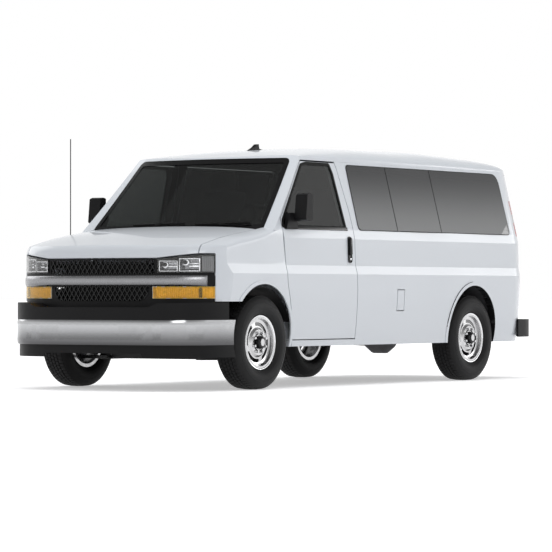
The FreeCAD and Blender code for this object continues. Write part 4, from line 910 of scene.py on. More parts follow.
@dataclass
class Studio:
    """Camera at the photograph's angle, pale floor, soft lamps and a white surround."""

    place: tuple[float, float, float] = (15.31, -23.356, 0.77)
    turn_deg: tuple[float, float, float] = (90.33, 0.0, 33.37)
    lens: float = 208.63
    sensor: float = 36.0
    daylight: float = 0.46
    floor_tone: float = 0.86
    floor_size: float = 600.0
    floor_z: float = -0.0006
    glow: Pair = (0.42, 1.0)
    glow_reach: Pair = (3.0, 26.0)
    sky: tuple[Pair, ...] = (
        (0.0, 1.0), (0.16, 1.0), (0.34, 0.60), (0.62, 0.26), (0.80, 0.22), (0.93, 0.28),
    )
    aim_z: float = 0.9
    # The low strip shows in the bands of the side that lean, as in the photograph.
    lamps: tuple[SoftLamp, ...] = (
        SoftLamp("overhead", (0.0, 0.0, 9.0), 12.0, 12.0, 700.0, in_reflections=False),
        SoftLamp("front", (9.0, -13.0, 8.0), 7.0, 7.0, 400.0),
        SoftLamp("side", (14.0, 3.0, 7.0), 7.0, 7.0, 60.0),
        SoftLamp("side_strip", (12.0, 17.0, 4.45), 16.0, 2.9, 380.0),
        SoftLamp("far_side", (-13.0, 1.0, 7.0), 8.0, 8.0, 280.0),
    )

    def build(self) -> None:
        """Make the camera, the world, the lamps and the floor."""
        self.camera()
        self.world()
        for lamp in self.lamps:
            lamp.build(Vector((0, 0, self.aim_z)))
        self.floor()
        bpy.context.scene.view_settings.view_transform = "Standard"
        LOG.info("studio ready")

    def camera(self) -> None:
        """Add the camera and make it the scene's."""
        clear_selection()
        turn = [math.radians(part) for part in self.turn_deg]
        bpy.ops.object.camera_add(location=self.place, rotation=turn)
        camera = bpy.context.object
        camera.name = "photo_camera"
        camera.data.lens = self.lens
        camera.data.sensor_width = self.sensor
        camera.data.clip_end = 400
        bpy.context.scene.camera = camera

    def seen(self, tree: bpy.types.NodeTree) -> bpy.types.NodeSocket:
        """Factor that is 1 for what the camera, a reflection or a view through glass meets.

        Args:
            tree: Node tree that needs it.

        Returns:
            The socket with the factor.
        """
        path = tree.nodes.new("ShaderNodeLightPath")
        value = path.outputs["Is Camera Ray"]
        for name in ("Is Glossy Ray", "Is Transmission Ray"):
            both = tree.nodes.new("ShaderNodeMath")
            both.operation = "MAXIMUM"
            tree.links.new(value, both.inputs[0])
            tree.links.new(path.outputs[name], both.inputs[1])
            value = both.outputs[0]
        return value

    def world(self) -> None:
        """White surround near the horizon, greyer high up, with plain light for the vehicle."""
        world = bpy.data.worlds.new("studio")
        world.use_nodes = True
        bpy.context.scene.world = world
        tree = world.node_tree
        background = tree.nodes["Background"]
        direction = tree.nodes.new("ShaderNodeTexCoord").outputs["Generated"]
        split = tree.nodes.new("ShaderNodeSeparateXYZ")
        tree.links.new(direction, split.inputs[0])
        ramp = tree.nodes.new("ShaderNodeValToRGB")
        while len(ramp.color_ramp.elements) < len(self.sky):
            ramp.color_ramp.elements.new(0.5)
        for element, (position, tone) in zip(ramp.color_ramp.elements, self.sky):
            element.position = position
            element.color = (tone, tone, tone, 1)
        tree.links.new(split.outputs["Z"], ramp.inputs["Fac"])
        mix = tree.nodes.new("ShaderNodeMix")
        mix.data_type = "RGBA"
        mix.inputs[6].default_value = (self.daylight, self.daylight, self.daylight * 1.02, 1)
        tree.links.new(ramp.outputs["Color"], mix.inputs[7])
        tree.links.new(self.seen(tree), mix.inputs[0])
        tree.links.new(mix.outputs[2], background.inputs["Color"])

    def floor(self) -> None:
        """Wide pale floor that keeps the vehicle's shadow."""
        clear_selection()
        bpy.ops.mesh.primitive_plane_add(size=self.floor_size, location=(0, 0, self.floor_z))
        floor = bpy.context.object
        floor.name = "studio_floor"
        material = bpy.data.materials.new("studio_floor")
        material.use_nodes = True
        tree = material.node_tree
        shader = tree.nodes["Principled BSDF"]
        tone = self.floor_tone
        shader.inputs["Base Color"].default_value = (tone, tone, tone * 1.005, 1)
        shader.inputs["Roughness"].default_value = 0.9
        shader.inputs["Specular IOR Level"].default_value = 0.1
        shader.inputs["Emission Color"].default_value = (1, 1, 1, 1)
        away = tree.nodes.new("ShaderNodeVectorMath")
        away.operation = "LENGTH"
        tree.links.new(tree.nodes.new("ShaderNodeTexCoord").outputs["Object"], away.inputs[0])
        rise = tree.nodes.new("ShaderNodeMapRange")
        for name, value in zip(("From Min", "From Max", "To Min", "To Max"),
                               (*self.glow_reach, *self.glow)):
            rise.inputs[name].default_value = value
        tree.links.new(away.outputs["Value"], rise.inputs["Value"])
        glow = tree.nodes.new("ShaderNodeMath")
        glow.operation = "MULTIPLY"
        tree.links.new(rise.outputs["Result"], glow.inputs[1])
        tree.links.new(self.seen(tree), glow.inputs[0])
        tree.links.new(glow.outputs[0], shader.inputs["Emission Strength"])
        material.cycles.emission_sampling = "NONE"
        floor.data.materials.append(material)


@dataclass
class FrameDress:
    """Finishes on the CAD pieces that stay in view."""

    nodes: dict[str, bpy.types.Object]

    def build(self) -> None:
        """Give every CAD node its finish."""
        for node in self.nodes.values():
            finish = self.finish_of(node.name)
            material = finish.material()
            if not node.data.materials:
                node.data.materials.append(material)
            for slot in node.material_slots:
                slot.material = material
        LOG.info("%d frame pieces dressed", len(self.nodes))

    def finish_of(self, name: str) -> Finish:
        """Finish of a CAD node by its name.

        Args:
            name: Name of the node.

        Returns:
            The finish of the first row that fits.
        """
        table = (
            (("windscreen",), SCREEN_GLASS),
            (("door_left_glass", "door_right_glass"), DOOR_GLASS),
            (("_glass", "side_windows"), PRIVACY_GLASS),
            (("rim_",), WHEEL_METAL),
            (("tyre_", "spare"), TYRE_RUBBER),
            (("front_bumper",), BUMPER_METAL),
            (("grille_bar",), SILVER_PAINT),
            (("headlamps",), LENS_CLEAR),
            (("turn_lamps",), LENS_AMBER),
            (("tail_lamps",), LENS_RED),
            (("grille", "mirror", "cowl", "trim", "rear_bumper", "aerials", "liners", "support"),
             TRIM_PLASTIC),
            (("frame", "suspension", "fuel_tank"), CHASSIS_PAINT),
            (("powertrain", "rear_axle", "driveshaft", "knuckle"), IRON),
            (("exhaust",), WORN_STEEL),
            (("floor",), UNDERSIDE),
            (("dashboard", "steering"), CABIN_GREY),
            (("seats", "benches"), CLOTH),
        )
        for keys, finish in table:
            if any(key in name for key in keys):
                return finish
        return WHITE_PAINT


@dataclass
class SideGlass:
    """Flush privacy panes of both sides, each on a black rubber seal."""

    skin: Skin
    low: float = 1.318
    high: float = 1.868
    stations: tuple[tuple[float, float], ...] = ((1.498, 2.1265), (2.1375, 2.8745), (2.8855, 4.112))
    corner: float = 0.045
    rear_corner: float = 0.11
    seal_width: float = 0.05
    seal_reach: float = 0.0056
    seal_thick: float = 0.002
    seal_below: float = 0.0012
    lift: float = 0.0055
    glass: float = 0.004
    edge: float = 0.0008
    cut_along: float = 0.15
    cut_up: float = 0.11
    smooth_deg: float = 12

    def build(self) -> None:
        """Build six panes with their seals."""
        bodies = ("side_door_front", "side_door_rear", "body")
        nodes = ("side_door_front_glass", "side_door_rear_glass", "")
        for side in SIDES:
            for index, span in enumerate(self.stations):
                body = "body" if side > 0 else bodies[index]
                label = f"side_{'left' if side > 0 else 'right'}_{index + 1}"
                pane = self.sheet(side, span, 0.0, index)
                modify(pane, "SOLIDIFY", thickness=self.glass, offset=-1)
                modify(pane, "BEVEL", width=self.edge, segments=2, limit_method="ANGLE")
                finish_piece(pane, label + "_pane", body, PRIVACY_GLASS, self.smooth_deg)
                if side > 0 and index == 0:
                    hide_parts("side_windows")
                if side < 0 and nodes[index]:
                    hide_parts(nodes[index])
                seal = self.sheet(side, span, self.seal_reach, index)
                modify(seal, "SOLIDIFY", thickness=self.seal_thick, offset=-1)
                finish_piece(seal, label + "_seal", body, RUBBER)

    def sheet(self, side: int, span: Pair, reach: float, index: int) -> bpy.types.Object:
        """Pane or seal as an open sheet on the skin.

        Args:
            side: 1 for the driver's side, -1 for the other.
            span: First and last station.
            reach: How far it goes past the pane's edge; a seal is a ring.
            index: Place of the pane from the front.

        Returns:
            The sheet, with its faces outward.
        """
        start, end = span
        corners = framed(start - reach, end + reach, self.low - reach, self.high + reach)
        front = self.corner if index == 0 else 0.0
        rear_low, rear_high = (self.corner, self.rear_corner) if index == 2 else (0.0, 0.0)
        outline = rounded(corners, (front, rear_low, rear_high, front))
        sheet = plate([Vector((0, y, z)) for y, z in outline])
        if reach:
            ring_of(sheet, self.seal_width)
        sliced(sheet, Y_AXIS, start, end, self.cut_along)
        sliced(sheet, Z_AXIS, self.low, self.high, self.cut_up)
        lift = self.lift if not reach else self.lift - self.seal_below

        def onto(point: Vector) -> Vector:
            """Place of a point on the skin."""
            width = self.skin.half_width(point.y, point.z) + lift
            return Vector((side * width, station(point.y), point.z))

        placed(sheet, onto)
        face_away(sheet, Vector((side, 0, 0.2)))
        return sheet


def face_away(sheet: bpy.types.Object, direction: Vector) -> None:
    """Turn an open sheet's faces to look along a direction.

    Args:
        sheet: Open sheet.
        direction: Where most of its faces should look.
    """
    with editing(sheet):
        bpy.ops.mesh.normals_make_consistent(inside=False)
    total = sum((face.normal * face.area for face in sheet.data.polygons), Vector())
    if total.dot(direction) < 0:
        with editing(sheet):
            bpy.ops.mesh.flip_normals()


@dataclass
class DoorTrim:
    """Black surround and belt moulding of each front door's glass."""

    skin: Skin
    outline: tuple[Pair, ...] = ((0.330, 1.328), (0.338, 1.392), (0.800, 1.850), (0.860, 1.866),
                                 (1.230, 1.866), (1.262, 1.780), (1.296, 1.328))
    reach: float = 0.012
    width: float = 0.026
    thick: float = 0.006
    seal_lift: float = 0.0022
    belt: tuple[float, float, float, float] = (0.345, 1.318, 1.306, 1.336)
    belt_lift: float = 0.0046

    def build(self) -> None:
        """Dress both front doors."""
        for side in SIDES:
            body = "driver_door" if side > 0 else "passenger_door"
            label = "door_left" if side > 0 else "door_right"
            surround = self.surround(side)
            finish_piece(surround, label + "_window_seal", body, RUBBER)
            belt = self.belt_strip(side)
            finish_piece(belt, label + "_belt_strip", body, SMOOTH_BLACK)

    def on_skin(self, side: int, lift: float) -> Callable[[Vector], Vector]:
        """Rule that lays points of stations and heights on a side, a lift above the skin.

        Args:
            side: 1 for the driver's side, -1 for the other.
            lift: Height above the skin.

        Returns:
            The rule for one point.
        """
        def onto(point: Vector) -> Vector:
            """Place of a point on the skin."""
            width = self.skin.half_width(point.y, point.z) + lift + point.x
            return Vector((side * width, station(point.y), point.z))
        return onto

    def surround(self, side: int) -> bpy.types.Object:
        """Ring of rubber round the door glass.

        Args:
            side: 1 for the driver's side, -1 for the other.

        Returns:
            The ring.
        """
        ring = plate([Vector((0, y, z)) for y, z in rounded(grown(self.outline, self.reach), 0.02, 3)])
        ring_of(ring, self.width)
        sliced(ring, Z_AXIS, 1.3, 1.88, 0.1)
        sliced(ring, Y_AXIS, 0.3, 1.3, 0.2)
        placed(ring, self.on_skin(side, self.seal_lift))
        face_away(ring, Vector((side, 0, 0.2)))
        modify(ring, "SOLIDIFY", thickness=self.thick, offset=-1)
        modify(ring, "BEVEL", width=0.001, segments=2, limit_method="ANGLE")
        return ring

    def belt_strip(self, side: int) -> bpy.types.Object:
        """Moulding along the lower edge of the door glass.

        Args:
            side: 1 for the driver's side, -1 for the other.

        Returns:
            The moulding.
        """
        _, _, low, high = self.belt
        strip = plate([Vector((0, y, z)) for y, z in rounded(framed(*self.belt), 0.008, 3)])
        sliced(strip, Z_AXIS, low, high, 0.01)
        placed(strip, self.on_skin(side, self.belt_lift))
        face_away(strip, Vector((side, 0, 0.2)))
        modify(strip, "SOLIDIFY", thickness=self.thick, offset=-1)
        modify(strip, "BEVEL", width=0.0018, segments=3, limit_method="ANGLE")
        return strip


@dataclass
class Handles:
    """Upright black handles of the cab doors and the far side's front door."""

    skin: Skin
    high: float = 0.222
    wide: float = 0.056
    middle_z: float = 1.147
    proud: float = 0.011
    sunk: float = 0.001
    rim: float = 0.004
    grip_share: float = 0.66
    grip_rise: float = 0.026
    grip_proud: float = 0.026
    lock_drop: float = 0.080
    lock_radius: float = 0.0095
    places: tuple[tuple[int, float, str, str], ...] = (
        (1, 1.322, "driver_door", "door_left"), (-1, 1.322, "passenger_door", "door_right"),
        (-1, 2.074, "side_door_front", "side_door_front"),
    )

    def build(self) -> None:
        """Place the handles on their doors."""
        for side, y, body, label in self.places:
            base, grip, lock = self.upright(side, y)
            finish_piece(base, label + "_handle_cup", body, SMOOTH_BLACK)
            finish_piece(grip, label + "_handle_grip", body, SMOOTH_BLACK)
            finish_piece(lock, label + "_lock", body, BRIGHT_METAL)

    def upright(self, side: int, y: float) -> tuple[bpy.types.Object, bpy.types.Object, bpy.types.Object]:
        """Capsule cup with a broad crowned grip over it and a lock below.

        Args:
            side: 1 for the driver's side, -1 for the other.
            y: Station of its middle.

        Returns:
            The cup, the grip and the lock.
        """
        cup = self.capsule(y, self.wide, self.high, self.middle_z, self.proud)
        pick_faces(cup, lambda centre, normal: normal.x > 0.9)
        with editing(cup, selected=False):
            bpy.ops.mesh.inset(thickness=self.rim)
            bpy.ops.mesh.inset(thickness=self.rim / 2)
            bpy.ops.transform.translate(value=(-self.rim, 0, 0))
        grip = self.capsule(y, self.wide * self.grip_share, self.high * self.grip_share,
                            self.middle_z + self.grip_rise, self.grip_proud)
        modify(grip, "BEVEL", width=0.009, segments=4, limit_method="ANGLE")
        for piece in (cup, grip):
            placed(piece, self.against(side))
            outward(piece)
        low = Vector((0, y, self.middle_z - self.lock_drop))
        lock = drum(self.lock_radius, low, low + Vector((self.proud + self.rim, 0, 0)), 24, 0.001)
        placed(lock, self.against(side))
        outward(lock)
        return cup, grip, lock

    def capsule(self, y: float, wide: float, high: float, middle: float, proud: float) -> bpy.types.Object:
        """Upright flat capsule whose depth runs along X from the skin.

        Args:
            y: Station of its middle.
            wide: Its width.
            high: Its height.
            middle: Height of its middle.
            proud: Its depth.

        Returns:
            The capsule.
        """
        half, rise = wide / 2, high / 2
        outline = rounded(framed(y - half, y + half, middle - rise, middle + rise), half * 0.98, 8)
        return prism([Vector((0, a, b)) for a, b in outline], Vector((proud, 0, 0)))

    def against(self, side: int) -> Callable[[Vector], Vector]:
        """Rule that stands a point on a side's skin, its X the height above it.

        Args:
            side: 1 for the driver's side, -1 for the other.

        Returns:
            The rule for one point.
        """
        def onto(point: Vector) -> Vector:
            """Place of a point against the skin."""
            width = self.skin.half_width(point.y, point.z) + point.x - self.sunk
            return Vector((side * width, station(point.y), point.z))
        return onto


@dataclass
class Grille:
    """Diamond mesh behind the two openings of the front."""

    nodes: dict[str, bpy.types.Object]
    pitch: float = 0.046
    row: float = 0.034
    strip: float = 0.0042
    deep: float = 0.009
    set_back: float = 0.014
    upper: tuple[Pair, ...] = ((-0.516, 0.932), (0.516, 0.932), (0.511, 1.046), (-0.511, 1.046))
    lower: tuple[Pair, ...] = ((-0.468, 0.836), (-0.460, 0.770), (-0.428, 0.732), (-0.380, 0.718),
                               (0.380, 0.718), (0.428, 0.732), (0.460, 0.770), (0.468, 0.836))
    bar_z: float = 0.845
    cut_up: float = 0.02

    def build(self) -> None:
        """Build the mesh of each opening."""
        for label, outline in (("upper", self.upper), ("lower", self.lower)):
            lattice = self.lattice(outline)
            finish_piece(lattice, f"grille_{label}_mesh", "body", SMOOTH_BLACK)

    def front_line(self, x: float) -> float:
        """Length along the vehicle of the front face at a half width."""
        found = cast([self.nodes["grille_bar"]], Vector((x, -4, self.bar_z)), Y_AXIS)
        return found.y if found is not None else -2.7

    def lattice(self, outline: Sequence[Pair]) -> bpy.types.Object:
        """Crossed slanting strips trimmed to an outline and bent to the front's plan.

        Args:
            outline: Corners of the opening, seen from the front.

        Returns:
            The mesh.
        """
        low = min(z for _, z in outline)
        high = max(z for _, z in outline)
        half = max(x for x, _ in outline)
        slope = self.pitch / (2 * self.row)
        reach = (high - low) * slope
        strips = []
        for lean in SIDES:
            count = int((2 * half + reach) / self.pitch) + 2
            for index in range(count):
                x0 = -half - reach + index * self.pitch if lean > 0 else -half + index * self.pitch
                x1 = x0 + lean * reach
                side = Vector((self.strip / 2, 0, 0)) * math.hypot(1, 1 / slope)
                foot, head = Vector((x0, 0, low)), Vector((x1, 0, high))
                strips.append(prism([foot - side, foot + side, head + side, head - side],
                                    Vector((0, self.deep, 0))))
        mesh = join(strips)
        sliced(mesh, Z_AXIS, low, high, self.cut_up)
        self.trim(mesh, outline)
        line: dict[float, float] = {}

        def bend(point: Vector) -> Vector:
            """Place of a flat point behind the front's curve.

            Args:
                point: Flat point.

            Returns:
                Its new place.
            """
            key = round(point.x, 3)
            if key not in line:
                line[key] = self.front_line(point.x)
            return Vector((point.x, line[key] + self.set_back + point.y, point.z))

        placed(mesh, bend)
        outward(mesh)
        return mesh

    def trim(self, mesh: bpy.types.Object, outline: Sequence[Pair]) -> None:
        """Cut a mesh off outside a convex outline seen from the front.

        Args:
            mesh: Object to cut.
            outline: Corners of the outline.
        """
        middle = Vector((0, 0, sum(z for _, z in outline) / len(outline)))
        for index, (x, z) in enumerate(outline):
            before = Vector((outline[index - 1][0], 0, outline[index - 1][1]))
            here = Vector((x, 0, z))
            normal = (here - before).cross(Y_AXIS).normalized()
            if normal.dot(here - middle) < 0:
                normal = -normal
            with editing(mesh):
                bpy.ops.mesh.bisect(plane_co=here, plane_no=normal, use_fill=True, clear_outer=True)


@dataclass
class Wheels:
    """Tyres with ribbed treads and bright wheels' small parts, modelled once and copied."""

    radius: float = 0.382
    tread: float = 0.006
    blocks: int = 68
    front_x: float = 0.874
    rear_x: float = 0.861
    middle_rows: tuple[tuple[float, float, float], ...] = (
        (0.0, 0.024, 0.0), (0.0325, 0.026, 0.5), (-0.0325, 0.026, 0.5),
    )
    shoulder_x: float = 0.068
    shoulder_wide: float = 0.032
    crown: float = 0.02
    wall: tuple[Pair, ...] = (
        (0.0815, 0.2045), (0.0815, 0.2245), (0.088, 0.2265), (0.098, 0.233), (0.108, 0.245),
        (0.1145, 0.258), (0.1165, 0.2605), (0.1165, 0.2635), (0.1188, 0.268), (0.1216, 0.284),
        (0.1223, 0.296), (0.1216, 0.308), (0.1196, 0.318), (0.1208, 0.3205), (0.1196, 0.323),
        (0.116, 0.336), (0.1105, 0.349), (0.1040, 0.3595), (0.0985, 0.3655), (0.0915, 0.3705),
    )
    wall_top_x: float = 0.0905
    nut_seat: tuple[Pair, ...] = ((0.0755, 0.074), (0.0805, 0.074), (0.0805, 0.066), (0.0755, 0.066))
    band: tuple[Pair, ...] = (
        (0.0830, 0.2215), (0.0905, 0.2225), (0.0935, 0.2195), (0.0925, 0.2130), (0.0865, 0.2060),
        (0.0760, 0.1990), (0.0680, 0.1935), (0.0640, 0.1925), (0.0640, 0.1960), (0.0740, 0.2020),
        (0.0830, 0.2100),
    )
    cap: tuple[Pair, ...] = (
        (0.068, 0.053), (0.100, 0.0505), (0.112, 0.0460), (0.1165, 0.0400), (0.1175, 0.0300),
        (0.1150, 0.0280), (0.1150, 0.0002), (0.0900, 0.0002), (0.0900, 0.0400), (0.068, 0.0470),
    )
    nut_count: int = 8
    nut_ring: float = 0.082
    nut_turn_deg: float = -70
    valve_turn_deg: float = 200

    def build(self) -> None:
        """Build the tyre and the small parts of four wheels."""
        model = self.tyre()
        fittings = self.fittings()
        for end, x, y in (("front", self.front_x, 0.0), ("rear", self.rear_x, WHEELBASE)):
            for side in SIDES:
                label = f"{end}_{'left' if side > 0 else 'right'}"
                centre = Vector((side * x, station(y), self.radius))
                tyre = self.stood(model, side, centre)
                finish_piece(tyre, f"tyre_{label}_treaded", f"wheel_{label}", TYRE_RUBBER, 32)
                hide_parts(f"tyre_{label}")
                for name, part, slot, finish in fittings:
                    twin = self.stood(part, side, centre)
                    finish_piece(twin, f"wheel_{label}_{name}", f"wheel_{label}", finish)
        for obj in [model] + [part for _, part, _, _ in fittings]:
            bpy.data.objects.remove(obj)

    def stood(self, model: bpy.types.Object, side: int, centre: Vector) -> bpy.types.Object:
        """Copy of a model on a wheel's centre, with its outer face to a side.

        Args:
            model: Model about the origin.
            side: 1 for the driver's side, -1 for the other.
            centre: Centre of the wheel.

        Returns:
            The copy.
        """
        twin = copied(model)
        placed(twin, lambda point: Vector((side * point.x, side * point.y, point.z)) + centre)
        return twin

    def tyre(self) -> bpy.types.Object:
        """Tyre about the origin, turning about X, with its outer wall to +X.

        Returns:
            The tyre.
        """
        base = self.radius - self.tread
        wall = [*self.wall, (self.wall_top_x, base - 0.003)]
        profile = wall + [(0.0, base - 0.001)] + [(-along, radius) for along, radius in reversed(wall)]
        rows = [turned(profile, 112)]
        pitch = math.tau * self.radius / self.blocks
        for x, width, skew in self.middle_rows:
            high = self.radius - abs(x) * self.crown
            block = self.block(x, width, pitch * 0.84, base - 0.002, high)
            self.turn(block, skew * math.tau / self.blocks)
            repeated(block, self.blocks)
            rows.append(block)
        for side in SIDES:
            x = side * self.shoulder_x
            block = self.block(x, self.shoulder_wide, pitch * 0.8, base - 0.003, self.radius - 0.0022)
            placed(block, lambda point, s=side: self.shoulder(point, s))
            repeated(block, self.blocks)
            rows.append(block)
        return join(rows)

    def shoulder(self, point: Vector, sign: int) -> Vector:
        """Round a shoulder block off towards the wall."""
        over = max(sign * point.x - self.shoulder_x, 0)
        return Vector((point.x + sign * over * 0.35, point.y, point.z - over * over * 16))

    def block(self, x: float, width: float, length: float, low: float, high: float) -> bpy.types.Object:
        """One tread block on top of the tyre.

        Args:
            x: Its middle across the tread.
            width: Size across the tread.
            length: Size along the tread.
            low: Radius of its foot.
            high: Radius of its top.

        Returns:
            The block.
        """
        block = box_block(Vector((x - width / 2, -length / 2, low)),
                          Vector((x + width / 2, length / 2, high)))
        pick_faces(block, lambda centre, normal: normal.z > 0.9)
        with editing(block, selected=False):
            bpy.ops.mesh.inset(thickness=0.0016)
            bpy.ops.transform.translate(value=(0, 0, 0.0003))
        return block

    def turn(self, obj: bpy.types.Object, angle: float) -> None:
        """Turn a mesh about the wheel's axis."""
        cosine, sine = math.cos(angle), math.sin(angle)
        placed(obj, lambda p: Vector((p.x, p.y * cosine - p.z * sine, p.y * sine + p.z * cosine)))

    def fittings(self) -> list[tuple[str, bpy.types.Object, Slot, Finish]]:
        """Lug nuts with their seat, rim band, centre cap and valve about the origin, on the +X side.

        Returns:
            Name, object, slot and finish of each piece.
        """
        ring = self.nut_ring
        nut = drum(0.0125, Vector((0.070, 0, ring)), Vector((0.099, 0, ring)), 6, 0.001, 0.0105)
        dome = drum(0.0085, Vector((0.096, 0, ring)), Vector((0.104, 0, ring)), 12, 0.001, 0.003)
        nuts = join([nut, dome])
        self.turn(nuts, math.radians(self.nut_turn_deg))
        repeated(nuts, self.nut_count)
        stem = tube([Vector((0.060, 0, 0.186)), Vector((0.075, 0, 0.183)), Vector((0.094, 0, 0.176))],
                    0.0042)
        self.turn(stem, math.radians(self.valve_turn_deg))
        return [
            ("nuts", nuts, Slot.CHROME, BRIGHT_METAL),
            ("nut_seat", turned(self.nut_seat, 48), Slot.TRIM, TRIM_PLASTIC),
            ("band", turned(self.band, 96), Slot.WHEEL, BRIGHT_METAL),
            ("cap", turned(self.cap), Slot.TRIM, SMOOTH_BLACK),
            ("valve", stem, Slot.TRIM, RUBBER),
        ]


@dataclass
class Lamps:
    """Hollow head, turn and tail lamps in place of the solid ones."""

    nodes: dict[str, bpy.types.Object]
    lens: float = 0.003
    tub: float = 0.0025
    head_z: float = 1.0
    cells: tuple[Pair, ...] = ((0.556, 0.703), (0.713, 0.858))
    cell_front: float = 0.012
    cell_back: float = 0.07
    cell_low: float = 0.953
    cell_rise: float = 0.118
    cell_high: float = 1.038
    rim: float = 0.006
    eye_in: float = 0.036
    eye_down: float = 0.032
    eye_radius: float = 0.026
    bulb_radius: float = 0.017
    side_part: Pair = (0.864, 0.934)
    side_high: float = 1.072
    side_ribs: int = 6
    side_rib: tuple[float, float, float] = (0.870, 0.0115, 0.0062)
    turn_z: float = 0.785
    turn_box: tuple[float, float, float, float] = (0.514, 0.93, 0.744, 0.826)
    turn_ribs: int = 24
    turn_rib: tuple[float, float, float] = (0.524, 0.0165, 0.006)
    divider: Pair = (0.852, 0.862)
    cut_across: float = 0.02
    tail_bands: Pair = (1.425, 1.505)

    def build(self) -> None:
        """Build the lamps of both sides and hide the solid ones last, as their faces place the parts."""
        stand_ins = {}
        for side in SIDES:
            label = "left" if side > 0 else "right"
            self.head(side, label)
            self.turn(side, label)
            stand_ins["headlamps"] = self.shell("headlamps", side, "headlamp_" + label, LENS_CLEAR,
                                                SMOOTH_BLACK)
            stand_ins["turn_lamps"] = self.shell("turn_lamps", side, "turn_lamp_" + label, LENS_AMBER,
                                                 WARM_REFLECTOR)
            stand_ins["tail_lamps"] = self.tail(side, label)
        for node, piece in stand_ins.items():
            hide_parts(node)

    def shell(self, node: str, side: int, label: str, finish: Finish,
              tub_finish: Finish) -> bpy.types.Object:
        """Lens and housing of a front lamp, made from the solid's own faces.

        Args:
            node: Solid to take the faces from.
            side: 1 for the driver's side, -1 for the other.
            label: Start of the pieces' names.
            finish: Look of the lens.
            tub_finish: Look of the housing.

        Returns:
            The lens.
        """
        def ahead(normal: Vector) -> bool:
            """Whether a face belongs to the lens."""
            return normal.y < -0.3 or (normal.x * side > 0.62 and normal.y < 0.2)

        lens = face_copy(self.nodes[node], lambda c, n: c.x * side > 0 and ahead(n))
        modify(lens, "SOLIDIFY", thickness=self.lens, offset=-1)
        finish_piece(lens, label + "_lens", "body", finish)
        tub = face_copy(self.nodes[node], lambda c, n: c.x * side > 0 and not ahead(n))
        modify(tub, "SOLIDIFY", thickness=self.tub, offset=-1)
        finish_piece(tub, label + "_housing", "body", tub_finish)
        return lens

    def bent(self, node: str, side: int, z: float) -> Callable[[Vector], Vector]:
        """Rule that lays points of half width, depth and height behind a front lamp's face.

        Args:
            node: Lamp whose face they follow.
            side: 1 for the driver's side, -1 for the other.
            z: Height at which the face is read.

        Returns:
            The rule for one point.
        """
        line: dict[float, float] = {}

        def onto(point: Vector) -> Vector:
            """Place of a point behind the lens.

            Args:
                point: Half width, depth and height.

            Returns:
                Its place.
            """
            key = round(point.x, 3)
            if key not in line:
                found = cast([self.nodes[node]], Vector((side * key, -4, z)), Y_AXIS)
                line[key] = found.y if found is not None else -2.5
            return Vector((side * point.x, line[key] + point.y, point.z))

        return onto

    def laid(self, parts: Sequence[bpy.types.Object], onto: Callable[[Vector], Vector], name: str,
             finish: Finish) -> None:
        """Join the parts of one piece, lay them behind the lens and finish them.

        Args:
            parts: Flat parts, in half width, depth and height.
            onto: Rule that bends them to the lens.
            name: Name of the piece.
            finish: Its look.
        """
        piece = join(parts)
        placed(piece, onto)
        outward(piece)
        finish_piece(piece, name, "body", finish)

    def head(self, side: int, label: str) -> None:
        """Two square reflectors with bright rims, steps and bulbs, and a ribbed grey outer part.

        Args:
            side: 1 for the driver's side, -1 for the other.
            label: Side in the pieces' names.
        """
        onto = self.bent("headlamps", side, self.head_z)
        bowls, bright, bulbs = [], [], []
        for start, end in self.cells:
            high = self.cell_high + (start - 0.55) * self.cell_rise
            bowls.append(self.bowl(start, end, high))
            bright.extend(self.cell_brights(start, end, high))
            bulb = Vector((start + self.eye_in, self.cell_front, high - self.eye_down))
            bulbs.append(drum(self.bulb_radius, bulb, bulb + Vector((0, 0.02, 0)), 24, 0.005))
        self.laid(bowls, onto, f"headlamp_{label}_bowls", REFLECTOR)
        self.laid(bright, onto, f"headlamp_{label}_steps", BRIGHT_METAL)
        self.laid(bulbs, onto, f"headlamp_{label}_bulbs", SMOOTH_BLACK)
        ribs = self.ribs(self.side_ribs, self.side_rib, 0.02, (self.cell_low, self.side_high), 12)
        x0, x1 = self.side_part
        ribs.append(box_block(Vector((x0, 0.02, self.cell_low)),
                              Vector((x1, 0.03, self.side_high)), 0.002))
        self.laid(ribs, onto, f"headlamp_{label}_side_reflector", RIBBED_GREY)

    def bowl(self, start: float, end: float, high: float) -> bpy.types.Object:
        """Hollowed square reflector of one cell.

        Args:
            start: First side of the cell.
            end: Last side.
            high: Its top.

        Returns:
            The reflector.
        """
        bowl = box_block(Vector((start, self.cell_front, self.cell_low)),
                         Vector((end, self.cell_back, high)))
        pick_faces(bowl, lambda centre, normal: normal.y < -0.9)
        with editing(bowl, selected=False):
            bpy.ops.mesh.inset(thickness=0.004)
            bpy.ops.mesh.inset(thickness=0.003)
            bpy.ops.transform.translate(value=(0, 0.012, 0))
            bpy.ops.mesh.inset(thickness=0.012)
            bpy.ops.transform.translate(value=(0, 0.03, 0))
        sliced(bowl, X_AXIS, start, end, self.cut_across)
        return bowl

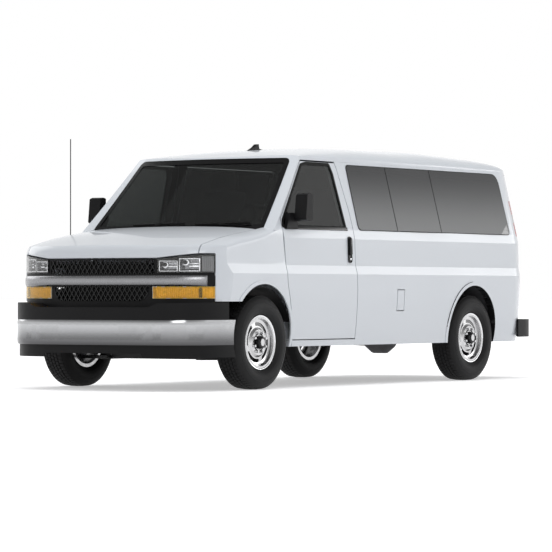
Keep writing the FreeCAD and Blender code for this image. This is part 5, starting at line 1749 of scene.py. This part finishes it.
    def cell_brights(self, start: float, end: float, high: float) -> list[bpy.types.Object]:
        """Eye, steps and rim bars of one cell.

        Args:
            start: First side of the cell.
            end: Last side.
            high: Its top.

        Returns:
            The separate parts.
        """
        eye = Vector((start + self.eye_in, 0.03, high - self.eye_down))
        parts = [drum(self.eye_radius, eye, eye + Vector((0, 0.03, 0)), 24, 0.004)]
        for z, tall in ((self.cell_low + 0.034, 0.012), (self.cell_low + 0.058, 0.006),
                        (high - 0.016, 0.006)):
            parts.append(box_block(Vector((start + 0.062, 0.028, z)),
                                   Vector((end - 0.014, 0.05, z + tall)), 0.003))
        low, rim = self.cell_low, self.rim
        for x0, x1, z0, z1 in (
            (start, end, low, low + rim), (start, end, high - rim, high),
            (start, start + rim, low, high), (end - rim, end, low, high),
        ):
            parts.append(box_block(Vector((x0, 0.006, z0)), Vector((x1, 0.014, z1)), 0.0015))
        for part in parts[1:]:
            sliced(part, X_AXIS, start, end, 0.03)
        return parts

    def ribs(self, count: int, plan: tuple[float, float, float], deep: float, rise: Pair,
             sides: int) -> list[bpy.types.Object]:
        """Row of upright round ribs.

        Args:
            count: How many.
            plan: Half width of the first, distance from one to the next, and radius.
            deep: How far they stand behind the lens.
            rise: Lowest and highest point.
            sides: Faces round each.

        Returns:
            The ribs.
        """
        first, pitch, radius = plan
        low, high = rise
        row = []
        for index in range(count):
            x = first + index * pitch
            row.append(drum(radius, Vector((x, deep, low)), Vector((x, deep, high)), sides))
        return row

    def turn(self, side: int, label: str) -> None:
        """Ribbed reflector of the turn lamp and the divider near its outer end.

        Args:
            side: 1 for the driver's side, -1 for the other.
            label: Side in the pieces' names.
        """
        onto = self.bent("turn_lamps", side, self.turn_z)
        x0, x1, low, high = self.turn_box
        backing = box_block(Vector((x0, 0.03, low)), Vector((x1, 0.036, high)), 0.002)
        sliced(backing, X_AXIS, x0, x1, self.cut_across)
        ribs = self.ribs(self.turn_ribs, self.turn_rib, 0.03, (low + 0.002, high - 0.002), 10)
        self.laid([backing, *ribs], onto, f"turn_lamp_{label}_reflector", WARM_REFLECTOR)
        x0, x1 = self.divider
        divider = box_block(Vector((x0, 0.004, low)), Vector((x1, 0.03, high)), 0.002)
        self.laid([divider], onto, f"turn_lamp_{label}_divider", SMOOTH_BLACK)

    def tail(self, side: int, label: str) -> bpy.types.Object:
        """Red, clear and red bands of the tail lamp, of which the lowest is given back.

        Args:
            side: 1 for the driver's side, -1 for the other.
            label: Side in the pieces' names.

        Returns:
            The lowest band.
        """
        low, high = self.tail_bands
        pieces = []
        for name, start, end, finish in (
            ("stop", None, low, LENS_RED),
            ("reverse", low, high, LENS_FROSTED),
            ("turn", high, None, LENS_RED),
        ):
            band = face_copy(self.nodes["tail_lamps"], lambda centre, normal: centre.x * side > 0)
            with editing(band):
                if start is not None:
                    bpy.ops.mesh.bisect(plane_co=Z_AXIS * start, plane_no=Z_AXIS, use_fill=True,
                                        clear_inner=True)
            with editing(band):
                if end is not None:
                    bpy.ops.mesh.bisect(plane_co=Z_AXIS * end, plane_no=Z_AXIS, use_fill=True,
                                        clear_outer=True)
            outward(band)
            pieces.append(finish_piece(band, f"tail_lamp_{label}_{name}", "body", finish))
        return pieces[0]


@dataclass
class Screen:
    """Black edge and wiper blades of the windscreen."""

    skin: Skin
    low: float = 1.303
    high: float = 1.909
    low_half: float = 0.866
    high_half: float = 0.757
    edge: float = 0.042
    edge_lift: float = 0.0008
    edge_thick: float = 0.0006
    wipers: tuple[Pair, ...] = ((-0.44, 0.085), (0.20, 0.725))
    wiper_z: float = 1.345
    wiper_lift: float = 0.016
    wiper_points: int = 8

    def build(self) -> None:
        """Lay the edge on the glass and the blades over it."""
        corners = [(-self.low_half, self.low), (self.low_half, self.low), (self.high_half, self.high),
                   (-self.high_half, self.high)]
        band = plate([Vector((x, 0, z)) for x, z in rounded(corners, 0.05, 5)])
        ring_of(band, self.edge)
        sliced(band, X_AXIS, -self.low_half, self.low_half, 0.07)
        sliced(band, Z_AXIS, self.low, self.high, 0.1)
        placed(band, lambda point: self.on_glass(point, self.edge_lift))
        face_away(band, Vector((0, -1, 0.5)))
        modify(band, "SOLIDIFY", thickness=self.edge_thick, offset=-1)
        finish_piece(band, "windscreen_edge", "body", SMOOTH_BLACK)
        for index, (start, end) in enumerate(self.wipers):
            blade = self.blade(start, end)
            finish_piece(blade, f"wiper_blade_{index + 1}", "body", RUBBER)

    def on_glass(self, point: Vector, lift: float) -> Vector:
        """Place of a point seen from the front, a lift in front of the glass."""
        glass = station(self.skin.screen_station(point.x, point.z))
        return Vector((point.x, glass - lift - point.y, point.z + lift * 0.5))

    def blade(self, start: float, end: float) -> bpy.types.Object:
        """Wiper blade with its rubber lip along the foot of the glass.

        Args:
            start: First end, across the vehicle.
            end: Last end.

        Returns:
            The blade.
        """
        middle, z = (start + end) / 2, self.wiper_z
        points = []
        for index in range(self.wiper_points + 1):
            share = index / self.wiper_points
            flat = Vector((start + (end - start) * share, 0, z + 0.01 * (share - 0.5)))
            points.append(self.on_glass(flat, self.wiper_lift))
        spine = tube(points, 0.0055, 2)
        lip_points = [point + Vector((0, 0.009, -0.004)) for point in points]
        lip = tube(lip_points, 0.0028, 2)
        clip = box_block(Vector((middle - 0.03, 0, z - 0.009)),
                         Vector((middle + 0.03, 0.016, z + 0.011)), 0.004)
        placed(clip, lambda point: self.on_glass(point, 0.012))
        outward(clip)
        return join([spine, lip, clip])


@dataclass
class Mirrors:
    """Glass of the door mirrors."""

    outline: tuple[Pair, ...] = ((1.010, 1.396), (1.100, 1.396), (1.100, 1.582), (1.010, 1.574))
    corner: float = 0.016
    face: float = 0.5585
    thick: float = 0.0035
    edge: float = 0.0008

    def build(self) -> None:
        """Set a pane into the rear face of each housing."""
        for side in SIDES:
            label = "left" if side > 0 else "right"
            body = "driver_door" if side > 0 else "passenger_door"
            outline = [Vector((side * x, station(self.face), z))
                       for x, z in rounded(self.outline, self.corner, 5)]
            pane = prism(outline, Y_AXIS * self.thick, self.edge)
            outward(pane)
            finish_piece(pane, f"mirror_{label}_glass", body, BRIGHT_METAL)


@dataclass
class Rear:
    """High stop lamp, handle, blank plate recess and bumper tread of the rear."""

    nodes: dict[str, bpy.types.Object]
    stop_half: float = 0.14
    stop_rise: Pair = (1.908, 1.938)
    tread_start: float = 4.535
    tread_half: float = 0.62
    tread_rise: Pair = (0.541, 0.546)
    tread_bars: int = 5
    handle_at: Pair = (-0.075, 1.03)
    handle_half: Pair = (0.034, 0.1)
    grip_out: float = 0.04
    grip_radius: float = 0.011
    plate_at: Pair = (0.36, 0.96)
    tub_frame: tuple[float, float, float, float] = (-0.19, 0.19, -0.10, 0.11)
    plate_frame: tuple[float, float, float, float] = (-0.152, 0.152, -0.078, 0.075)

    def build(self) -> None:
        """Fit the small parts of the rear."""
        low, high = self.stop_rise
        roof_y = self.face_y("roof", 0.0, 1.925)
        stop = box_block(Vector((-self.stop_half, roof_y - 0.02, low)),
                         Vector((self.stop_half, roof_y + 0.012, high)), 0.006, 3)
        finish_piece(stop, "high_stop_lamp", "body", LENS_RED)
        self.handle()
        self.plate_recess()
        low, high = self.tread_rise
        treads = []
        for index in range(self.tread_bars):
            y = station(self.tread_start + index * 0.018)
            treads.append(box_block(Vector((-self.tread_half, y, low)),
                                    Vector((self.tread_half, y + 0.009, high)), 0.002))
        finish_piece(join(treads), "rear_step_tread", "body", RUBBER)

    def face_y(self, name: str, x: float, z: float) -> float:
        """Length along the vehicle of a node's rear face at a place seen from behind."""
        found = cast([self.nodes[name]], Vector((x, 5, z)), -Y_AXIS)
        return found.y if found is not None else station(4.504)

    def handle(self) -> None:
        """Upright handle on the right-hand rear door."""
        x, z = self.handle_at
        half, rise = self.handle_half
        y = self.face_y("rear_door_right", x, z)
        outline = rounded(framed(x - half, x + half, z - rise, z + rise), 0.03, 6)
        cup = prism([Vector((a, y - 0.001, b)) for a, b in outline], Vector((0, 0.012, 0)), 0.003)
        finish_piece(cup, "rear_door_handle_cup", "rear_door_right", SMOOTH_BLACK)
        points = [Vector((x, y + out, z + up)) for out, up in (
            (0.008, -0.075), (self.grip_out, -0.05), (self.grip_out, 0.05), (0.008, 0.075),
        )]
        grip = tube(points, self.grip_radius)
        finish_piece(grip, "rear_door_handle_grip", "rear_door_right", SMOOTH_BLACK)

    def plate_recess(self) -> None:
        """Blank plate in a black tub on the left-hand rear door."""
        x, z = self.plate_at
        y = self.face_y("rear_door_left", x, z)
        x0, x1, z0, z1 = self.tub_frame
        tub = box_block(Vector((x + x0, y - 0.002, z + z0)), Vector((x + x1, y + 0.014, z + z1)), 0.006, 3)
        pick_faces(tub, lambda centre, normal: normal.y > 0.9)
        with editing(tub, selected=False):
            bpy.ops.mesh.inset(thickness=0.014)
            bpy.ops.transform.translate(value=(0, -0.009, 0))
        finish_piece(tub, "plate_recess", "rear_door_left", TRIM_PLASTIC)
        x0, x1, z0, z1 = self.plate_frame
        outline = rounded(framed(x + x0, x + x1, z + z0, z + z1), 0.012, 4)
        blank = prism([Vector((a, y + 0.0045, b)) for a, b in outline], Vector((0, 0.002, 0)), 0.0005)
        finish_piece(blank, "blank_plate", "rear_door_left", PLATE_WHITE)


@dataclass
class Linings:
    """Dark inner linings on the cabin faces of the body and the doors."""

    nodes: dict[str, bpy.types.Object]
    centre: Vector
    thick: float = 0.0018
    sill_z: float = 0.36
    flatten: float = 0.35
    arch: tuple[float, float, float] = (3.412, 0.430, 0.50)

    def build(self) -> None:
        """Line each panel that can be seen from inside."""
        for name, body in (
            ("roof", "body"), ("side_left", "body"), ("side_right", "body"), ("bulkhead", "body"),
            ("door_left", "driver_door"), ("door_right", "passenger_door"),
            ("side_door_front", "side_door_front"), ("side_door_rear", "side_door_rear"),
            ("rear_door_left", "rear_door_left"), ("rear_door_right", "rear_door_right"),
        ):
            sheet = face_copy(self.nodes[name], self.inner)
            if not sheet.data.polygons:
                bpy.data.objects.remove(sheet)
                continue
            modify(sheet, "SOLIDIFY", thickness=self.thick, offset=1)
            finish_piece(sheet, name + "_lining", body, LINING)
        for name in ("side_left", "side_right"):
            arch = face_copy(self.nodes[name], self.in_arch)
            if not arch.data.polygons:
                bpy.data.objects.remove(arch)
                continue
            modify(arch, "SOLIDIFY", thickness=self.thick, offset=1)
            finish_piece(arch, name + "_arch_lining", "body", TRIM_PLASTIC)
        carpet = face_copy(self.nodes["floor"], lambda centre, normal: normal.z > 0.6 and centre.z > 0.68)
        modify(carpet, "SOLIDIFY", thickness=0.004, offset=1)
        finish_piece(carpet, "carpet", "body", LINING)

    def in_arch(self, centre: Vector, normal: Vector) -> bool:
        """Whether a face looks into the rear wheel's arch.

        Args:
            centre: Middle of the face.
            normal: Its direction.

        Returns:
            True if it does.
        """
        y, z, radius = self.arch
        away = Vector((0, centre.y - station(y), centre.z - z))
        return away.length < radius and abs(normal.x) < 0.5 and normal.dot(away.normalized()) < -0.6

    def inner(self, centre: Vector, normal: Vector) -> bool:
        """Whether a face above the sill looks towards the cabin's middle line.

        Args:
            centre: Middle of the face.
            normal: Its direction.

        Returns:
            True if it does.
        """
        away = centre - self.centre
        away.y *= self.flatten
        return centre.z > self.sill_z and normal.dot(away.normalized()) < -0.35


@dataclass
class Cabin:
    """Padded seats and benches, and the fittings of the dashboard and the doors."""

    nodes: dict[str, bpy.types.Object]
    cushion_thick: float = 0.130
    cushion_deep: float = 0.47
    back_high: float = 0.700
    back_half: float = 0.06
    back_start: float = 0.452
    back_rake: float = 0.148
    place_wide: float = 0.48
    head_half: float = 0.125
    stem_apart: float = 0.05
    stem_radius: float = 0.006
    floor_z: float = 0.690
    pad_cuts: int = 11
    # Label, first and last side, station of the front, height of the underside, node it stands for.
    rows: tuple[tuple[str, float, float, float, float, str], ...] = (
        ("front_seat_left", 0.230, 0.730, 1.010, 0.960, "front_seats"),
        ("front_seat_right", -0.730, -0.230, 1.010, 0.960, "front_seats"),
        ("bench_1", -0.560, 0.820, 2.010, 0.980, "rear_benches"),
        ("bench_2", -0.560, 0.820, 2.790, 0.980, "rear_benches"),
        ("bench_3", -0.700, 0.700, 3.570, 0.980, "rear_benches"),
    )

    def build(self) -> None:
        """Build the seats row by row, then the fittings."""
        done: set[str] = set()
        for label, x0, x1, y, base, node in self.rows:
            cushion = self.seat(label, x0, x1, y, base)
            if node not in done:
                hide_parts(node)
                done.add(node)
        self.dashboard()
        self.door_fittings()

    def seat(self, label: str, x0: float, x1: float, y: float, base: float) -> bpy.types.Object:
        """Cushion, raked back, head pads and legs of one seat or bench.

        Args:
            label: Start of the pieces' names.
            x0: First side.
            x1: Last side.
            y: Station of the cushion's front.
            base: Height of the cushion's underside.

        Returns:
            The cushion.
        """
        top = base + self.cushion_thick
        cushion = self.pad(Vector((x0, station(y), base)),
                           Vector((x1, station(y + self.cushion_deep), top)), 0.016, 2)
        finish_piece(cushion, label + "_cushion", "body", CLOTH, 60)
        back_z = base + self.back_high
        back = self.pad(Vector((x0 + 0.008, -self.back_half, top)),
                        Vector((x1 - 0.008, self.back_half, back_z)), 0.014, 1)

        def raked(point: Vector) -> Vector:
            """Lean and taper of the back.

            Args:
                point: Point of the upright back.

            Returns:
                Its new place.
            """
            share = (point.z - top) / (back_z - top)
            middle = station(y + self.back_start + share * self.back_rake)
            return Vector((point.x, middle + point.y * (1 - share * 0.33), point.z))

        placed(back, raked)
        finish_piece(back, label + "_back", "body", CLOTH, 60)
        places = max(1, round((x1 - x0) / self.place_wide))
        stems = []
        for index in range(places):
            middle = x0 + (x1 - x0) * (index + 0.5) / places
            head = self.pad(Vector((middle - self.head_half, station(y + 0.562), back_z + 0.015)),
                            Vector((middle + self.head_half, station(y + 0.638), back_z + 0.18)), 0.01, 0)
            finish_piece(head, f"{label}_head_pad_{index + 1}", "body", CLOTH, 60)
            for offset in (-self.stem_apart, self.stem_apart):
                foot = Vector((middle + offset, station(y + 0.6), back_z - 0.03))
                stems.append(drum(self.stem_radius, foot, foot + Vector((0, 0, 0.07)), 12, 0.001))
        finish_piece(join(stems), label + "_head_stems", "body", WORN_STEEL)
        legs = []
        for x in (x0 + 0.06, x1 - 0.06 - (x1 - x0) / 8):
            legs.append(box_block(Vector((x, station(y + 0.06), self.floor_z)),
                                  Vector((x + 0.04, station(y + 0.38), base + 0.01)), 0.008, 3))
        finish_piece(join(legs), label + "_legs", "body", CHASSIS_PAINT)
        return cushion

    def pad(self, low: Vector, high: Vector, crown: float, seams: int) -> bpy.types.Object:
        """Crowned pad with pulled-in corners and sewn channels.

        Args:
            low: Lowest corner.
            high: Highest corner.
            crown: How far its faces swell.
            seams: Channels along its longest side to each half.

        Returns:
            The pad.
        """
        clear_selection()
        bpy.ops.mesh.primitive_cube_add(size=2)
        pad = bpy.context.object
        with editing(pad):
            bpy.ops.mesh.subdivide(number_cuts=self.pad_cuts)
        middle, half = (low + high) / 2, (high - low) / 2

        def swell(point: Vector) -> Vector:
            """Swollen place of a point of the unit cube.

            Args:
                point: Point of the cube.

            Returns:
                Its place on the pad.
            """
            pull = []
            for axis in range(3):
                first, second = point[(axis + 1) % 3], point[(axis + 2) % 3]
                fullness = (1 - first * first) * (1 - second * second)
                edge = 0.35 * (first ** 6 + second ** 6) * min(half) * abs(point[axis]) ** 4
                lift = math.copysign(crown * fullness * abs(point[axis]) ** 6, point[axis])
                pull.append(point[axis] * (half[axis] - edge * 0.5) + lift)
            if seams:
                groove = math.cos(point.x * math.pi * (seams + 0.5)) ** 24
                pull[1 if half.y < half.z else 2] *= 1 - 0.07 * groove
            return middle + Vector(pull)

        placed(pad, swell)
        modify(pad, "SUBSURF", levels=1, render_levels=1)
        return pad

    def dashboard(self) -> None:
        """Instrument hood, vents, centre panel and glove box lid."""
        hood = box_block(Vector((0.20, station(0.46), 1.285)),
                         Vector((0.58, station(0.655), 1.345)), 0.03, 5)
        finish_piece(hood, "instrument_hood", "body", CABIN_GREY)
        panel = box_block(Vector((-0.14, station(0.60), 1.12)),
                          Vector((0.14, station(0.662), 1.262)), 0.012, 3)
        finish_piece(panel, "centre_panel", "body", SMOOTH_BLACK)
        vents = []
        for x in (-0.66, -0.24, 0.16, 0.64):
            vent = box_block(Vector((x - 0.05, station(0.61), 1.20)),
                             Vector((x + 0.05, station(0.664), 1.255)), 0.006, 2)
            pick_faces(vent, lambda centre, normal: normal.y > 0.9)
            with editing(vent, selected=False):
                bpy.ops.mesh.inset(thickness=0.007)
                bpy.ops.transform.translate(value=(0, -0.01, 0))
            vents.append(vent)
        finish_piece(join(vents), "dash_vents", "body", SMOOTH_BLACK)
        lid = box_block(Vector((-0.62, station(0.60), 1.03)),
                        Vector((-0.26, station(0.652), 1.16)), 0.012, 3)
        finish_piece(lid, "glove_box_lid", "body", CABIN_GREY)

    def door_fittings(self) -> None:
        """Arm rest and pull on the inside of each front door."""
        for side, body, node, label in ((1, "driver_door", "door_left", "left"),
                                        (-1, "passenger_door", "door_right", "right")):
            found = cast([self.nodes[node]], Vector((side * 0.6, station(1.05), 1.05)), X_AXIS * side)
            face = found.x if found is not None else side * 0.93
            low = Vector((min(face, face - side * 0.06), station(0.80), 1.02))
            high = Vector((max(face, face - side * 0.06), station(1.24), 1.075))
            rest = box_block(low, high, 0.018, 4)
            finish_piece(rest, f"arm_rest_{label}", body, CABIN_GREY)
            inner = face - side * 0.01
            reach = inner - side * 0.045
            pull = tube([
                Vector((inner, station(0.86), 1.12)), Vector((reach, station(0.88), 1.13)),
                Vector((reach, station(1.06), 1.16)), Vector((inner, station(1.08), 1.17)),
            ], 0.012)
            finish_piece(pull, f"door_pull_{label}", body, SMOOTH_BLACK)


def main() -> None:
    """Build the scene piece by piece."""
    logging.basicConfig(level=logging.INFO, format="%(message)s")
    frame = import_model()
    nodes = frame["nodes"]
    skin = Skin()
    Studio().build()
    FrameDress(nodes).build()
    SideGlass(skin).build()
    DoorTrim(skin).build()
    Handles(skin).build()
    Grille(nodes).build()
    Lamps(nodes).build()
    Screen(skin).build()
    Mirrors().build()
    Rear(nodes).build()
    Wheels().build()
    Linings(nodes, Vector((0, 0.2, 1.25))).build()
    Cabin(nodes).build()


if __name__ == "__main__":
    main()
